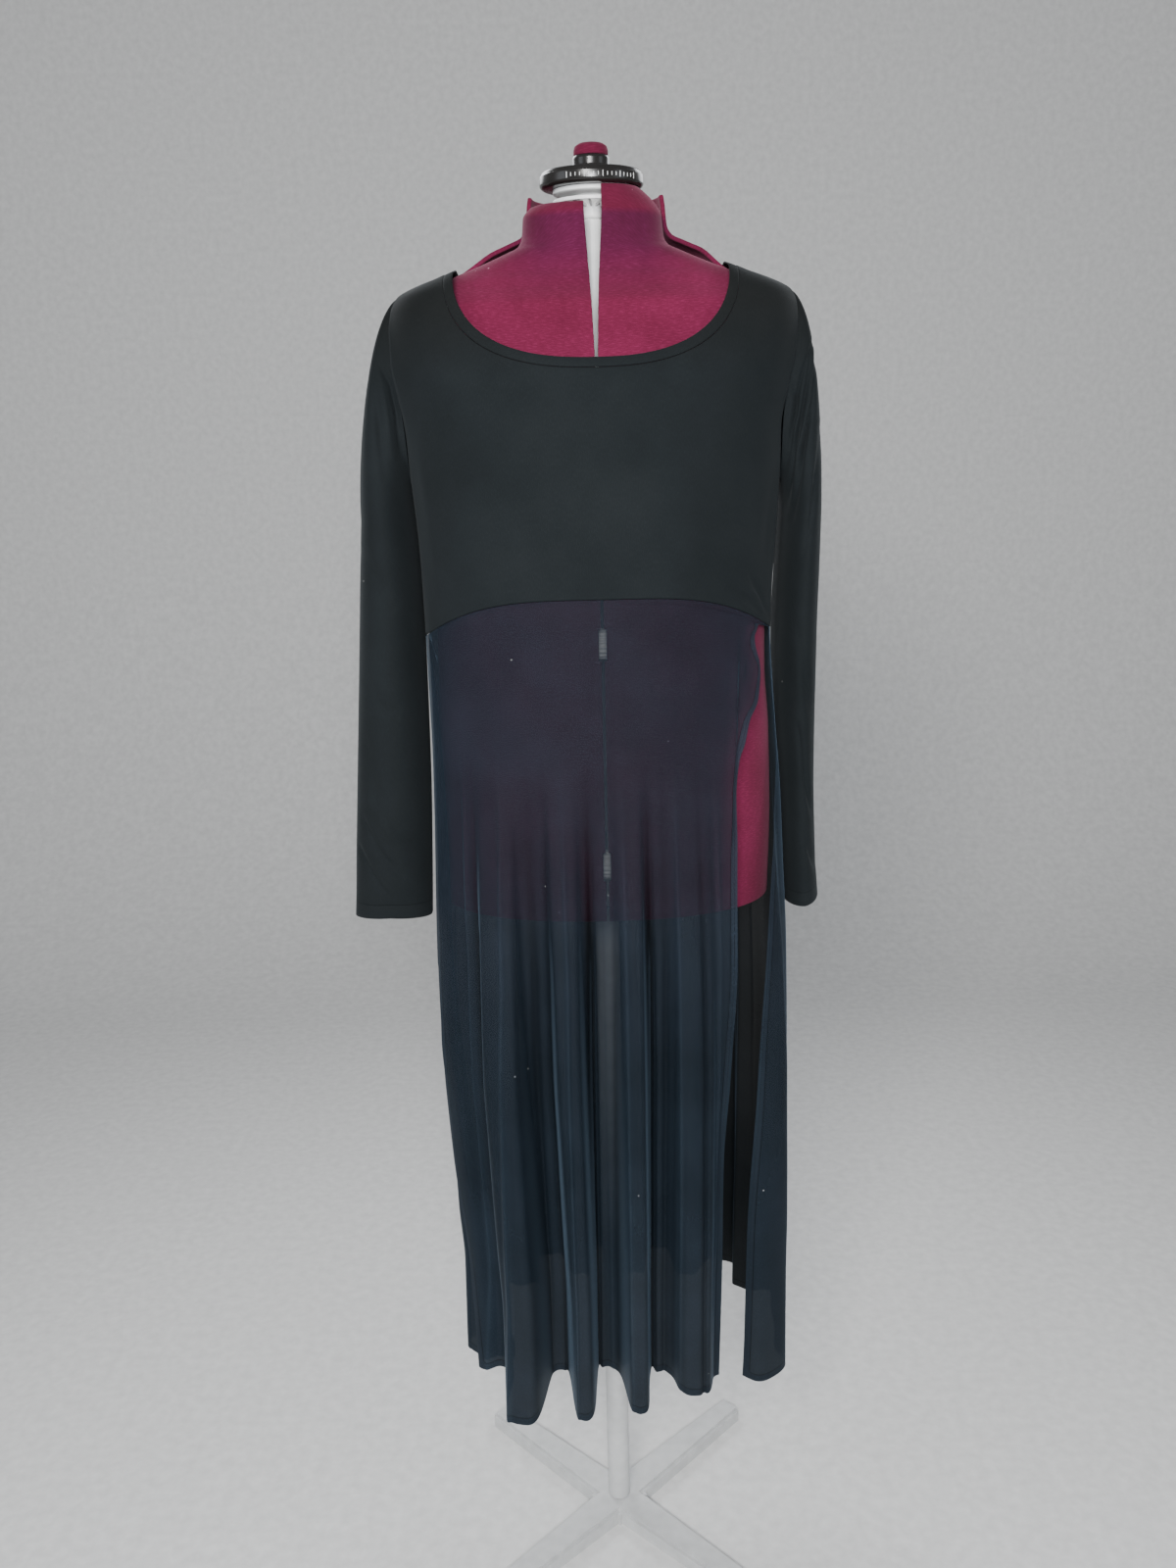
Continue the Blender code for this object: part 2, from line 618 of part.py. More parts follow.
def form_arc(half, depth, gap, side, facing):
    """Quarter of a section from the middle gap to the side gap."""
    first = math.asin(min((gap / half) ** (ROUNDNESS / 2), 1.0))
    last = math.acos(min((FORM_SPLIT_GAP / depth) ** (ROUNDNESS / 2), 1.0))
    arc = []
    for i in range(FORM_ARC_POINTS + 1):
        turn = first + (last - first) * i / FORM_ARC_POINTS
        x = half * math.sin(turn) ** (2 / ROUNDNESS)
        y = depth * math.cos(turn) ** (2 / ROUNDNESS)
        arc.append((side * x, facing * y))
    return arc


def neck_rise(height):
    share = min(max((height - RISE_START) / (RISE_END - RISE_START), 0.0), 1.0)
    return share * share * (3 - 2 * share)


def make_quarter(name, side, facing, top):
    front = facing < 0
    outer, inner = [], []
    for height in form_heights(front, top):
        half = column(FORM_SECTIONS, "half", height)
        depth = column(FORM_SECTIONS, "front" if front else "back", height)
        hollow = column(FORM_SECTIONS, "hollow", height)
        gap = gap_half(height, front)
        rise = 0.0 if front else neck_rise(height)
        level, shift = height + BACK_RISE * rise, BACK_SHIFT * rise
        arc = form_arc(half, depth, gap, side, facing)
        outer.append([Vector((x + shift, y, level)) for x, y in arc])
        arc = form_arc(half * hollow, depth * hollow, gap, side, facing)
        inner.append([Vector((x + shift, y, level)) for x, y in arc])
    return add_piece(name, wall_from_grid(outer, inner, closed=False), "felt", FELT)


def make_lathe(name, profile, finish_name, finish):
    """Body turned round the Z axis from (radius, height) points, bottom to top."""
    shape = bmesh.new()
    rings = []
    for radius, height in profile:
        turns = [2 * math.pi * i / LATHE_STEPS for i in range(LATHE_STEPS)]
        rings.append([shape.verts.new((radius * math.cos(t), radius * math.sin(t), height)) for t in turns])
    for low, high in zip(rings, rings[1:]):
        for i in range(LATHE_STEPS):
            n = (i + 1) % LATHE_STEPS
            shape.faces.new((low[i], low[n], high[n], high[i]))
    shape.faces.new(rings[0])
    shape.faces.new(rings[-1])
    return add_piece(name, shape, finish_name, finish)


def rounded_profile(radius, bottom, top, edge, steps=2):
    """Cylinder profile with both edges rounded."""
    profile = []
    for i in range(steps + 1):
        turn = math.pi / 2 * i / steps
        profile.append((radius - edge + edge * math.sin(turn), bottom + edge - edge * math.cos(turn)))
    for i in range(steps + 1):
        turn = math.pi / 2 * i / steps
        profile.append((radius - edge + edge * math.cos(turn), top - edge + edge * math.sin(turn)))
    return profile


def make_wheel(name, height):
    """White setting wheel in the front gap, its axis along X."""
    depth = column(FORM_SECTIONS, "front", height)
    middle = -(depth - WHEEL_RADIUS + WHEEL_PROUD)
    shape = bmesh.new()
    rings = []
    for x in (-WHEEL_WIDTH / 2, WHEEL_WIDTH / 2):
        ring = []
        for i in range(WHEEL_STEPS):
            turn = 2 * math.pi * i / WHEEL_STEPS
            radius = WHEEL_RADIUS - (WHEEL_NOTCH if i % 2 else 0.0)
            rim = (middle + radius * math.cos(turn), height + radius * math.sin(turn))
            ring.append(shape.verts.new((x, *rim)))
        rings.append(ring)
    for i in range(WHEEL_STEPS):
        n = (i + 1) % WHEEL_STEPS
        shape.faces.new((rings[0][i], rings[0][n], rings[1][n], rings[1][i]))
    shape.faces.new(rings[0])
    shape.faces.new(rings[1])
    add_piece(name, shape, "white_plastic", WHITE_PLASTIC, smooth_angle=30.0)
    return middle + WHEEL_RADIUS


def make_bar(name, height, start, end):
    """Flat bar in the middle gap, from the post to the wheel or the quarters."""
    low, high = sorted((start, end))
    shape = bmesh.new()
    bmesh.ops.create_cube(shape, size=1.0)
    for vert in shape.verts:
        vert.co.x *= BAR_WIDTH
        vert.co.y = (low + high) / 2 + vert.co.y * (high - low)
        vert.co.z = height + vert.co.z * BAR_HEIGHT
    add_piece(name, shape, "white_plastic", WHITE_PLASTIC)


def make_form():
    make_quarter("form_front_left", -1, -1, FRONT_LEFT_TOP)
    make_quarter("form_front_right", 1, -1, FRONT_RIGHT_TOP)
    make_quarter("form_back_left", -1, 1, BACK_TOP)
    make_quarter("form_back_right", 1, 1, BACK_TOP)
    for place, height in zip(("upper", "lower"), WHEEL_HEIGHTS):
        wheel_back = make_wheel(f"setting_wheel_{place}", height)
        make_bar(f"front_bar_{place}", height, -(POST_RADIUS + SEAM_GAP), wheel_back + SEAM_GAP)
        depth = column(FORM_SECTIONS, "back", height)
        make_bar(f"back_bar_{place}", height, POST_RADIUS + SEAM_GAP, depth * BACK_BAR_SHARE)


def make_base():
    """Flat base of four tapered legs round the pole."""
    outline = []
    for leg in range(4):
        turn = math.radians(LEG_TURN + 90.0 * leg)
        along = Vector((math.cos(turn), math.sin(turn), 0.0))
        across = Vector((-along.y, along.x, 0.0))
        outline.append(along * BASE_REACH - across * LEG_END / 2)
        outline.append(along * BASE_REACH + across * LEG_END / 2)
        outline.append((along + across) * LEG_ROOT / 2)
    shape = bmesh.new()
    floor = shape.faces.new([shape.verts.new(p) for p in outline])
    grown = bmesh.ops.extrude_face_region(shape, geom=[floor])
    raised = [item for item in grown["geom"] if isinstance(item, bmesh.types.BMVert)]
    bmesh.ops.translate(shape, verts=raised, vec=(0.0, 0.0, BASE_HEIGHT))
    upper = [edge for edge in shape.edges if any(vert.co.z > BASE_HEIGHT / 2 for vert in edge.verts)]
    bmesh.ops.bevel(shape, geom=upper, offset=BASE_EDGE, segments=2, affect="EDGES")
    add_piece("base", shape, "pale_metal", PALE_METAL)


def make_stand():
    post_low = POLE_TOP + SEAM_GAP
    make_lathe("post", rounded_profile(POST_RADIUS, post_low, HUB_BOTTOM - SEAM_GAP, POLE_EDGE, 1),
               "white_plastic", WHITE_PLASTIC)
    make_lathe("neck_hub", rounded_profile(HUB_RADIUS, HUB_BOTTOM, RING_BOTTOM - SEAM_GAP, HUB_EDGE),
               "white_plastic", WHITE_PLASTIC)
    make_lathe("neck_ring", rounded_profile(RING_RADIUS, RING_BOTTOM, RING_TOP, RING_EDGE),
               "black_gloss", BLACK_GLOSS)
    make_lathe("knob_collar", rounded_profile(COLLAR_RADIUS, RING_TOP + SEAM_GAP, COLLAR_TOP, COLLAR_EDGE),
               "black_gloss", BLACK_GLOSS)
    cap_low = COLLAR_TOP + SEAM_GAP
    dome_height = CAP_TOP - cap_low - CAP_RIM
    dome = [(CAP_RADIUS * math.cos(t), cap_low + CAP_RIM + dome_height * math.sin(t))
            for t in (math.radians(a) for a in (0, 20, 40, 60, 78))]
    make_lathe("knob_cap", [(CAP_RADIUS, cap_low)] + dome, "felt", FELT)
    make_lathe("pole", rounded_profile(POLE_RADIUS, BASE_HEIGHT + SEAM_GAP, POLE_TOP, POLE_EDGE, 1),
               "pale_metal", PALE_METAL)
    make_base()


clear_scene()
make_form()
make_stand()
make_bodice(front=True)
make_bodice(front=False)
make_binding()
make_sleeve("sleeve_left", LEFT_SLEEVE, -1)
make_sleeve("sleeve_right", RIGHT_SLEEVE, 1)
make_skirt(front=True)
make_skirt(front=False)
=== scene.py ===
import math

import bpy
import numpy as np
from mathutils import Matrix, Vector


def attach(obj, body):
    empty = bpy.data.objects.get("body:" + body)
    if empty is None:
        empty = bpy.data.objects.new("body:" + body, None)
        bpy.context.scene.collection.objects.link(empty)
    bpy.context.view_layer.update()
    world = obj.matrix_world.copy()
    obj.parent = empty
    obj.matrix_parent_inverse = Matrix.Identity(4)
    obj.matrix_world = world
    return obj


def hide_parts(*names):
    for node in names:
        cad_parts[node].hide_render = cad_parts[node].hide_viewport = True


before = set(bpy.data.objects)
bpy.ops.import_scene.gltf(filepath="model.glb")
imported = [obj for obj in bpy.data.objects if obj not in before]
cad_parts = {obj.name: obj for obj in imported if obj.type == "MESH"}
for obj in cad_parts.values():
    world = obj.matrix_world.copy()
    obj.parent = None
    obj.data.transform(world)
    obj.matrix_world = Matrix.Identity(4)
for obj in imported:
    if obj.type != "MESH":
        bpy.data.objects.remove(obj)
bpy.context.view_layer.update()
print("frame loaded")

# The hanging cloth, as on the solids. Angles are degrees from the front middle, + to the viewer's right.
dress = {
    "roundness": 2.3,
    "sections": [  # height, left, right, front, back
        (0.25, 0.163, 0.194, 0.092, 0.1), (0.39, 0.165, 0.197, 0.095, 0.108),
        (0.47, 0.172, 0.2, 0.1, 0.114), (0.6, 0.183, 0.203, 0.108, 0.124),
        (0.69, 0.19, 0.205, 0.115, 0.131), (0.8, 0.192, 0.2045, 0.124, 0.14),
        (0.9, 0.193, 0.2015, 0.131, 0.146), (0.98, 0.193, 0.199, 0.135, 0.144),
        (1.1, 0.193, 0.19, 0.144, 0.13), (1.164, 0.193, 0.186, 0.152, 0.124),
        (1.21, 0.1935, 0.187, 0.157, 0.121), (1.26, 0.195, 0.191, 0.159, 0.121),
        (1.332, 0.201, 0.196, 0.156, 0.122), (1.384, 0.206, 0.199, 0.144, 0.122),
        (1.42, 0.212, 0.205, 0.131, 0.12), (1.45, 0.217, 0.212, 0.119, 0.117),
        (1.48, 0.2165, 0.214, 0.108, 0.112), (1.5, 0.213, 0.212, 0.1, 0.107),
        (1.512, 0.2075, 0.2075, 0.095, 0.103), (1.516, 0.204, 0.204, 0.093, 0.101),
        (1.52, 0.1975, 0.1975, 0.091, 0.099), (1.527, 0.182, 0.182, 0.088, 0.095),
        (1.5345, 0.162, 0.162, 0.084, 0.091), (1.5415, 0.1425, 0.1425, 0.08, 0.086),
        (1.548, 0.126, 0.126, 0.077, 0.082),
    ],
    "flutes": [  # angle, out
        (-100, 0.004), (-64, 0.03), (-50, 0.01), (-34, 0.083),
        (-21, 0.000), (-12.0, 0.075), (-2.5, -0.006), (5.2, 0.068),
        (11, 0.006), (24, 0.044), (36, 0.016), (53, 0.042),
        (76, 0.012), (92, 0.006), (112, 0.03), (126, 0.004),
        (142, 0.066), (154, 0.006), (165, 0.084), (174, 0.004),
        (183, 0.088), (193, 0.006), (206, 0.08), (219, 0.004), (236, 0.04), (260, 0.000),
    ],
    "fluteGrowth": [  # height, share
        (0.25, 1.00), (0.45, 0.84), (0.65, 0.62), (0.8, 0.4),
        (0.9, 0.22), (0.98, 0.08), (1.06, 0.00), (1.56, 0.00),
    ],
    "slitFrontRight": [
        (0.25, 0.118), (0.4, 0.122), (0.54, 0.124), (0.64, 0.131), (0.78, 0.1395), (0.9, 0.1404),
        (0.966, 0.1413), (1.008, 0.1457), (1.0275, 0.1514), (1.053, 0.1566), (1.077, 0.1662),
        (1.0935, 0.1681), (1.11, 0.1693), (1.1317, 0.1628), (1.145, 0.161), (1.1565, 0.162), (1.164, 0.182),
    ],
    "slitBackRight": [
        (0.25, 0.14), (0.3, 0.1415), (0.4, 0.1437), (0.5, 0.1468), (0.6, 0.1513), (0.7, 0.1567),
        (0.78, 0.1633), (0.893, 0.1752), (0.963, 0.1852), (1.035, 0.1905), (1.103, 0.1845), (1.164, 0.18),
    ],
    "slitFrontLeft": [
        (0.25, -0.146), (0.4, -0.153), (0.54, -0.169), (0.64, -0.177), (0.78, -0.184), (0.9, -0.187),
        (1.02, -0.19), (1.09, -0.191), (1.13, -0.192), (1.164, -0.193),
    ],
    "slitBackLeft": [
        (0.25, -0.126), (0.4, -0.134), (0.54, -0.15), (0.64, -0.159), (0.78, -0.168), (0.9, -0.172),
        (1.02, -0.178), (1.09, -0.182), (1.13, -0.186), (1.164, -0.1925),
    ],
    "wall": 0.0015,
    "seamGap": 0.0003,
    "seamSpare": 0.0001,
}


def smoothThrough(rows, at):  # value at a place, smooth through (place, value) rows and never past them
    place, value = np.array(sorted(rows), float).T
    step = np.diff(value) / np.diff(place)
    slope = np.concatenate([step[:1], np.zeros(len(step) - 1), step[-1:]])
    same = step[:-1] * step[1:] > 0
    slope[1:-1][same] = 2.0 / (1.0 / step[:-1][same] + 1.0 / step[1:][same])
    at = np.clip(at, place[0], place[-1])
    k = np.clip(np.searchsorted(place, at, side="right") - 1, 0, len(step) - 1)
    span = place[k + 1] - place[k]
    t = (at - place[k]) / span
    return (
        (2 * t**3 - 3 * t**2 + 1) * value[k]
        + (t**3 - 2 * t**2 + t) * span * slope[k]
        + (3 * t**2 - 2 * t**3) * value[k + 1]
        + (t**3 - t**2) * span * slope[k + 1]
    )


def column(rows, index, height):
    return smoothThrough([(row[0], row[index]) for row in rows], height)


def signedPower(value, exponent):
    return np.copysign(np.abs(value) ** exponent, value)


def smoothStep(value):
    value = np.clip(value, 0.0, 1.0)
    return value * value * (3 - 2 * value)


fold = {
    "steepness": 0.55,
    "skew": 0.04,
    "start": 1.09,
    "full": 0.8,
    "hem": 0.25,
    "formEdge": 0.86,
    "formFade": 0.06,
    "nearForm": 0.35,
    "pale": 0.45,         # how much paler a rolled edge is painted, a painted highlight
    "paintedHighlightFull": 0.0046,   # at this height of roll
    "paintedHighlightSpread": 1.3,
    # dark: how much darker the mesh is painted beside a groove, a painted shade
    "dark": 0.92,
    "paintedShadeFull": 0.01,
    "paintedShadeSpread": 1.7,
    "paintedShadeLean": 0.8,      # degrees to the left of the groove where the painted shade lies
    "deepest": 0.014,
    "paintedShadeLimit": -0.95,
    "lines": [  # angle at the top, angle at the hem, half width in degrees, out
        (-50.0, -57.5, 1.0, 0.004), (-44.5, -50.0, 1.1, -0.005), (-32.5, -39.0, 0.9, 0.0048),
        (-22.0, -26.0, 1.2, -0.004), (-16.5, -18.6, 0.8, -0.005), (-11.3, -14.8, 0.7, 0.0046),
        (-3.8, -5.9, 0.8, -0.014), (-0.6, -1.2, 0.6, 0.0016), (3.2, 2.3, 0.7, 0.0046),
        (10.4, 9.8, 0.8, -0.014), (14.5, 13.8, 0.9, -0.003), (18.2, 17.8, 0.7, 0.0044),
        (26.3, 26.4, 0.8, -0.004), (33.0, 30.5, 1.0, 0.003), (120.0, 118.0, 1.5, -0.005),
        (131.0, 133.0, 1.2, 0.004), (148.0, 147.0, 1.0, -0.009), (158.0, 158.0, 0.8, 0.004),
        (171.0, 170.0, 0.9, -0.009), (177.5, 177.0, 0.8, 0.004), (189.0, 189.5, 0.9, -0.009),
        (199.0, 198.0, 0.8, 0.004), (213.0, 214.0, 1.0, -0.009), (228.0, 230.0, 1.2, 0.004),
        (246.0, 250.0, 1.5, -0.005),
    ],
}


def fluteOut(angle):  # how far the hem stands out of the plain section
    place, out = np.array(dress["flutes"], float).T
    angle = (np.asarray(angle, float) + 100.0) % 360.0 - 100.0
    k = np.clip(np.searchsorted(place, angle, side="right") - 1, 0, len(place) - 2)
    share = (angle - place[k]) / (place[k + 1] - place[k])
    wave = 0.5 - 0.5 * np.cos(np.pi * share)
    sharp = smoothStep(smoothStep(smoothStep(wave)))
    steep = sharp * fold["steepness"] + smoothStep(wave) * (1 - fold["steepness"])
    return out[k] + (out[k + 1] - out[k]) * steep


def foldStart(angle, height):  # the angle in one turn, how far down the lines are, and how full they are
    down = np.clip((fold["full"] - height) / (fold["full"] - fold["hem"]), 0.0, 1.0)
    growth = smoothStep((fold["start"] - height) / (fold["start"] - fold["full"]))
    return (angle + 100.0) % 360.0 - 100.0, down, growth


def foldLines(angle, height):  # narrow grooves and rolled edges along the flutes
    angle, down, growth = foldStart(angle, height)
    closeness = smoothStep((fold["formEdge"] - height) / fold["formFade"])
    clear = fold["nearForm"] + (1 - fold["nearForm"]) * closeness  # shallower where the form is close
    total = np.zeros_like(angle)
    for upper, lower, width, out in fold["lines"]:
        middle = upper + (lower - upper) * down
        depth = out * clear if out < 0 else out
        total = total + depth * np.exp(-((angle - middle) / width) ** 2)
    return total * growth


def foldPaintedShade(angle, height):  # painted highlight along rolled edges, painted shade beside the narrow grooves
    angle, down, growth = foldStart(angle, height)
    total = np.zeros_like(angle)
    for upper, lower, width, out in fold["lines"]:
        middle = upper + (lower - upper) * down
        if out > 0:
            change = fold["pale"] * min(out / fold["paintedHighlightFull"], 1.0)
            spread = width * fold["paintedHighlightSpread"]
        else:  # the painted shade lies on the roll's right edge, just left of the groove
            middle = middle - fold["paintedShadeLean"] * min(-out / fold["deepest"], 1.0)
            change = -fold["dark"] * min(-out / fold["paintedShadeFull"], 1.0)
            spread = width * fold["paintedShadeSpread"]
        total = total + change * np.exp(-((angle - middle) / spread) ** 2)
    return np.maximum(total, fold["paintedShadeLimit"]) * growth


def dressPoint(angle, height):
    angle, height = np.broadcast_arrays(np.asarray(angle, float), np.asarray(height, float))
    left, right, front, back = (column(dress["sections"], i, height) for i in (1, 2, 3, 4))
    turn = np.radians(angle)
    side, ahead = np.sin(turn), np.cos(turn)
    half = np.where(side >= 0, right, left)
    depth = np.where(ahead >= 0, front, back)
    sharpness = 2 / dress["roundness"]
    x, y = half * signedPower(side, sharpness), -depth * signedPower(ahead, sharpness)
    place = np.stack([x, y, height], -1)
    away = np.stack([side**3, -ahead, np.zeros_like(side)], -1)
    away /= np.linalg.norm(away, axis=-1, keepdims=True)
    out = fluteOut(angle) * smoothThrough(dress["fluteGrowth"], height)
    place = place + away * (out + foldLines(angle, height))[..., None]
    place[..., 0] += fold["skew"] * out * np.where(ahead > 0.3, 1.0, 0.0)  # front folds lean to the right
    return place


def angleAt(sideways, height):  # angle on the front half whose point lies this far sideways
    half = np.where(sideways >= 0, column(dress["sections"], 2, height), column(dress["sections"], 1, height))
    share = np.minimum(np.abs(sideways) / half, 1.0) ** (dress["roundness"] / 2)
    return np.copysign(np.degrees(np.arcsin(share)), sideways)


def seamLean(height, front):  # angle short of the side line that leaves half a seam gap
    depth = column(dress["sections"], 3 if front else 4, height)
    halfGap = dress["seamGap"] / 2 + dress["seamSpare"]
    return np.degrees(np.arcsin((halfGap / depth) ** (dress["roundness"] / 2)))


waist = {"front": 1.2146, "back": 1.195, "side": 1.164, "sweep": 3.0}


def waistHeight(angle):
    reach = np.abs(np.sin(np.radians(angle))) ** waist["sweep"]
    middle = np.where(np.cos(np.radians(angle)) >= 0, waist["front"], waist["back"])
    return middle + (waist["side"] - middle) * reach


def gridNormals(points, closed=False):  # unit normals of a (row, column, xyz) grid
    if closed:
        across = np.roll(points, -1, 1) - np.roll(points, 1, 1)
    else:
        across = np.gradient(points, axis=1)
    along = np.gradient(points, axis=0)
    normal = np.cross(across, along)
    return normal / np.maximum(np.linalg.norm(normal, axis=-1, keepdims=True), 1e-12)


def gridMesh(name, grids, material, thickness=0.0, offset=0.0, bevel=0.0, edge=None, paintedShade=None):
    verts, faces, loops = [], [], []
    for points, closed in grids:  # a closed grid joins its last column to its first
        base = len(verts)
        rows, columns = points.shape[:2]
        uv = cutLengths(points, closed)
        verts += points.reshape(-1, 3).tolist()
        for r in range(rows - 1):
            for c in range(columns if closed else columns - 1):
                n = (c + 1) % columns
                low, high = base + r * columns, base + (r + 1) * columns
                faces.append((low + c, low + n, high + n, high + c))
                loops += [uv[r, c], uv[r, c + 1], uv[r + 1, c + 1], uv[r + 1, c]]
    mesh = bpy.data.meshes.new(name)
    mesh.from_pydata(verts, [], faces)
    mesh.uv_layers.new(name="cut").data.foreach_set("uv", np.array(loops).ravel())
    fromEdge = mesh.attributes.new("fromEdge", "FLOAT", "POINT")  # metres from a turned hem
    fromEdge.data.foreach_set("value", np.ones(len(verts)) if edge is None else edge.ravel())
    # a painted highlight and shade, one value per point
    if paintedShade is not None:
        mesh.attributes.new("paintedShade", "FLOAT", "POINT").data.foreach_set("value", paintedShade.ravel())
    mesh.shade_smooth()
    mesh.materials.append(material)
    made = bpy.data.objects.new(name, mesh)
    bpy.context.scene.collection.objects.link(made)
    if thickness:
        wall = made.modifiers.new("thickness", "SOLIDIFY")
        wall.thickness = thickness
        wall.offset = offset
    if bevel:
        rounded = made.modifiers.new("roundedEdge", "BEVEL")
        rounded.width = bevel
        rounded.segments = 2
        rounded.limit_method = "ANGLE"
        rounded.angle_limit = math.radians(50.0)
    return made


def addPiece(made, nodes=()):
    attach(made, "root")
    if nodes:
        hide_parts(*nodes)


def tubeGrid(path, radius, sides=8, flat=1.0, flatTowards=(0.0, 0.0, 1.0)):  # round bar with round ends
    path = np.array(path, float)
    along = np.gradient(path, axis=0)
    along /= np.linalg.norm(along, axis=1, keepdims=True)
    side = np.cross(along, np.broadcast_to(np.array(flatTowards, float), path.shape))
    side /= np.maximum(np.linalg.norm(side, axis=1, keepdims=True), 1e-9)
    top = np.cross(side, along)
    turn = 2 * np.pi * np.arange(sides) / sides
    rings = []
    ends = [(0, 0.05, -1.0), (0, 0.7, -0.6)] + [(i, 1.0, 0.0) for i in range(len(path))]
    ends += [(len(path) - 1, 0.7, 0.6), (len(path) - 1, 0.05, 1.0)]
    for i, size, reach in ends:
        radial = np.cos(turn)[:, None] * side[i] + np.sin(turn)[:, None] * top[i] * flat
        rings.append(path[i] + along[i] * reach * radius * flat + radial * radius * size)
    return np.array(rings), True


def latheGrid(profile, steps=96):  # (radius, height) points round the Z axis
    turn = 2 * np.pi * np.arange(steps) / steps
    rings = [np.stack([r * np.cos(turn), r * np.sin(turn), np.full_like(turn, z)], -1) for r, z in profile]
    return np.array(rings), True


def roundedSteps(profile, edge=0.0012, count=4):  # profile with its corners rounded
    made = [profile[0]]
    for before, here, after in zip(profile, profile[1:], profile[2:]):
        here, before, after = np.array(here), np.array(before), np.array(after)
        reach = min(edge, 0.45 * np.linalg.norm(before - here), 0.45 * np.linalg.norm(after - here))
        start = here + (before - here) / np.linalg.norm(before - here) * reach
        end = here + (after - here) / np.linalg.norm(after - here) * reach
        for t in np.linspace(0.0, 1.0, count):
            made.append(tuple((1 - t) ** 2 * start + 2 * t * (1 - t) * here + t * t * end))
    return made + [profile[-1]]


crease = {"even": 0.8, "waves": 9.0, "shift": 40.0, "taper": 0.6}


def creases(points, rows):  # soft troughs (-) and ridges (+), listed as (path of x and z, width, out)
    flat = points[..., (0, 2)]
    total = np.zeros(points.shape[:2])
    for path, width, out in rows:
        knots = np.array(path, float)
        lengths = np.concatenate([[0.0], np.cumsum(np.linalg.norm(np.diff(knots, axis=0), axis=1))])
        nearest = np.full(points.shape[:2], 1e9)
        place = np.zeros(points.shape[:2])
        for k in range(len(knots) - 1):
            step = knots[k + 1] - knots[k]
            t = np.clip(((flat - knots[k]) @ step) / (step @ step), 0.0, 1.0)
            away = np.linalg.norm(flat - knots[k] - t[..., None] * step, axis=-1)
            closer = away < nearest
            nearest = np.where(closer, away, nearest)
            place = np.where(closer, (lengths[k] + t * np.linalg.norm(step)) / lengths[-1], place)
        wave = np.sin(crease["waves"] * place + crease["shift"] * knots[0][0])
        uneven = crease["even"] + (1 - crease["even"]) * wave
        taper = np.sin(np.pi * np.clip(place, 0.0, 1.0)) ** crease["taper"]
        total += out * taper * uneven * np.exp(-(nearest / width) ** 2)
    return total


def joined(points, closed):
    return np.concatenate([points, points[:, :1]], 1) if closed else points


def cutLengths(points, closed=False):  # uv in metres, measured along the cloth
    points = joined(points, closed)
    across = np.linalg.norm(np.diff(points, axis=1), axis=-1)
    along = np.linalg.norm(np.diff(points, axis=0), axis=-1)
    u = np.concatenate([np.zeros((len(points), 1)), np.cumsum(across, 1)], 1)
    u -= u.mean(1, keepdims=True)
    v = np.concatenate([np.zeros((1, points.shape[1])), np.cumsum(along, 0)], 0)
    return np.stack([u, v], -1)


def distanceFromEdge(points, sides):  # along the cloth, from the last row and maybe the two end columns
    along = np.linalg.norm(np.diff(points, axis=0), axis=-1)
    distance = np.concatenate([np.cumsum(along[::-1], 0)[::-1], np.zeros((1, points.shape[1]))], 0)
    if sides:
        across = np.linalg.norm(np.diff(points, axis=1), axis=-1)
        start = np.zeros((len(points), 1))
        distance = np.minimum(distance, np.concatenate([start, np.cumsum(across, 1)], 1))
        distance = np.minimum(distance, np.concatenate([np.cumsum(across[:, ::-1], 1)[:, ::-1], start], 1))
    return distance


# Materials

def newMaterial(name):
    made = bpy.data.materials.new(name)
    made.use_nodes = True
    tree = made.node_tree
    tree.nodes.clear()
    output = tree.nodes.new("ShaderNodeOutputMaterial")
    shader = tree.nodes.new("ShaderNodeBsdfPrincipled")
    tree.links.new(shader.outputs["BSDF"], output.inputs["Surface"])
    return made, tree, shader


def addNode(tree, kind, inputs=None, **settings):
    node = tree.nodes.new("ShaderNode" + kind)
    for key, value in settings.items():
        setattr(node, key, value)
    for key, value in (inputs or {}).items():
        if isinstance(value, bpy.types.NodeSocket):
            tree.links.new(value, node.inputs[key])
        else:
            node.inputs[key].default_value = value
    return node


def newGroup(name, inputs, outputs):
    tree = bpy.data.node_groups.new(name, "ShaderNodeTree")
    for label, value in inputs.items():
        socket = tree.interface.new_socket(label, in_out="INPUT", socket_type="NodeSocketFloat")
        socket.default_value = value
    for label in outputs:
        tree.interface.new_socket(label, in_out="OUTPUT", socket_type="NodeSocketFloat")
    return tree, tree.nodes.new("NodeGroupInput"), tree.nodes.new("NodeGroupOutput")


def mathNode(tree, operation, *values):
    return addNode(tree, "Math", dict(enumerate(values)), operation=operation).outputs["Value"]


def rampNode(tree, factor, stops):  # stops of (place, colour)
    ramp = addNode(tree, "ValToRGB", {"Fac": factor})
    marks = ramp.color_ramp.elements
    while len(marks) < len(stops):
        marks.new(0.5)
    for mark, (place, colour) in zip(marks, stops):
        mark.position = place
        mark.color = (*colour, 1.0)
    return ramp.outputs["Color"]


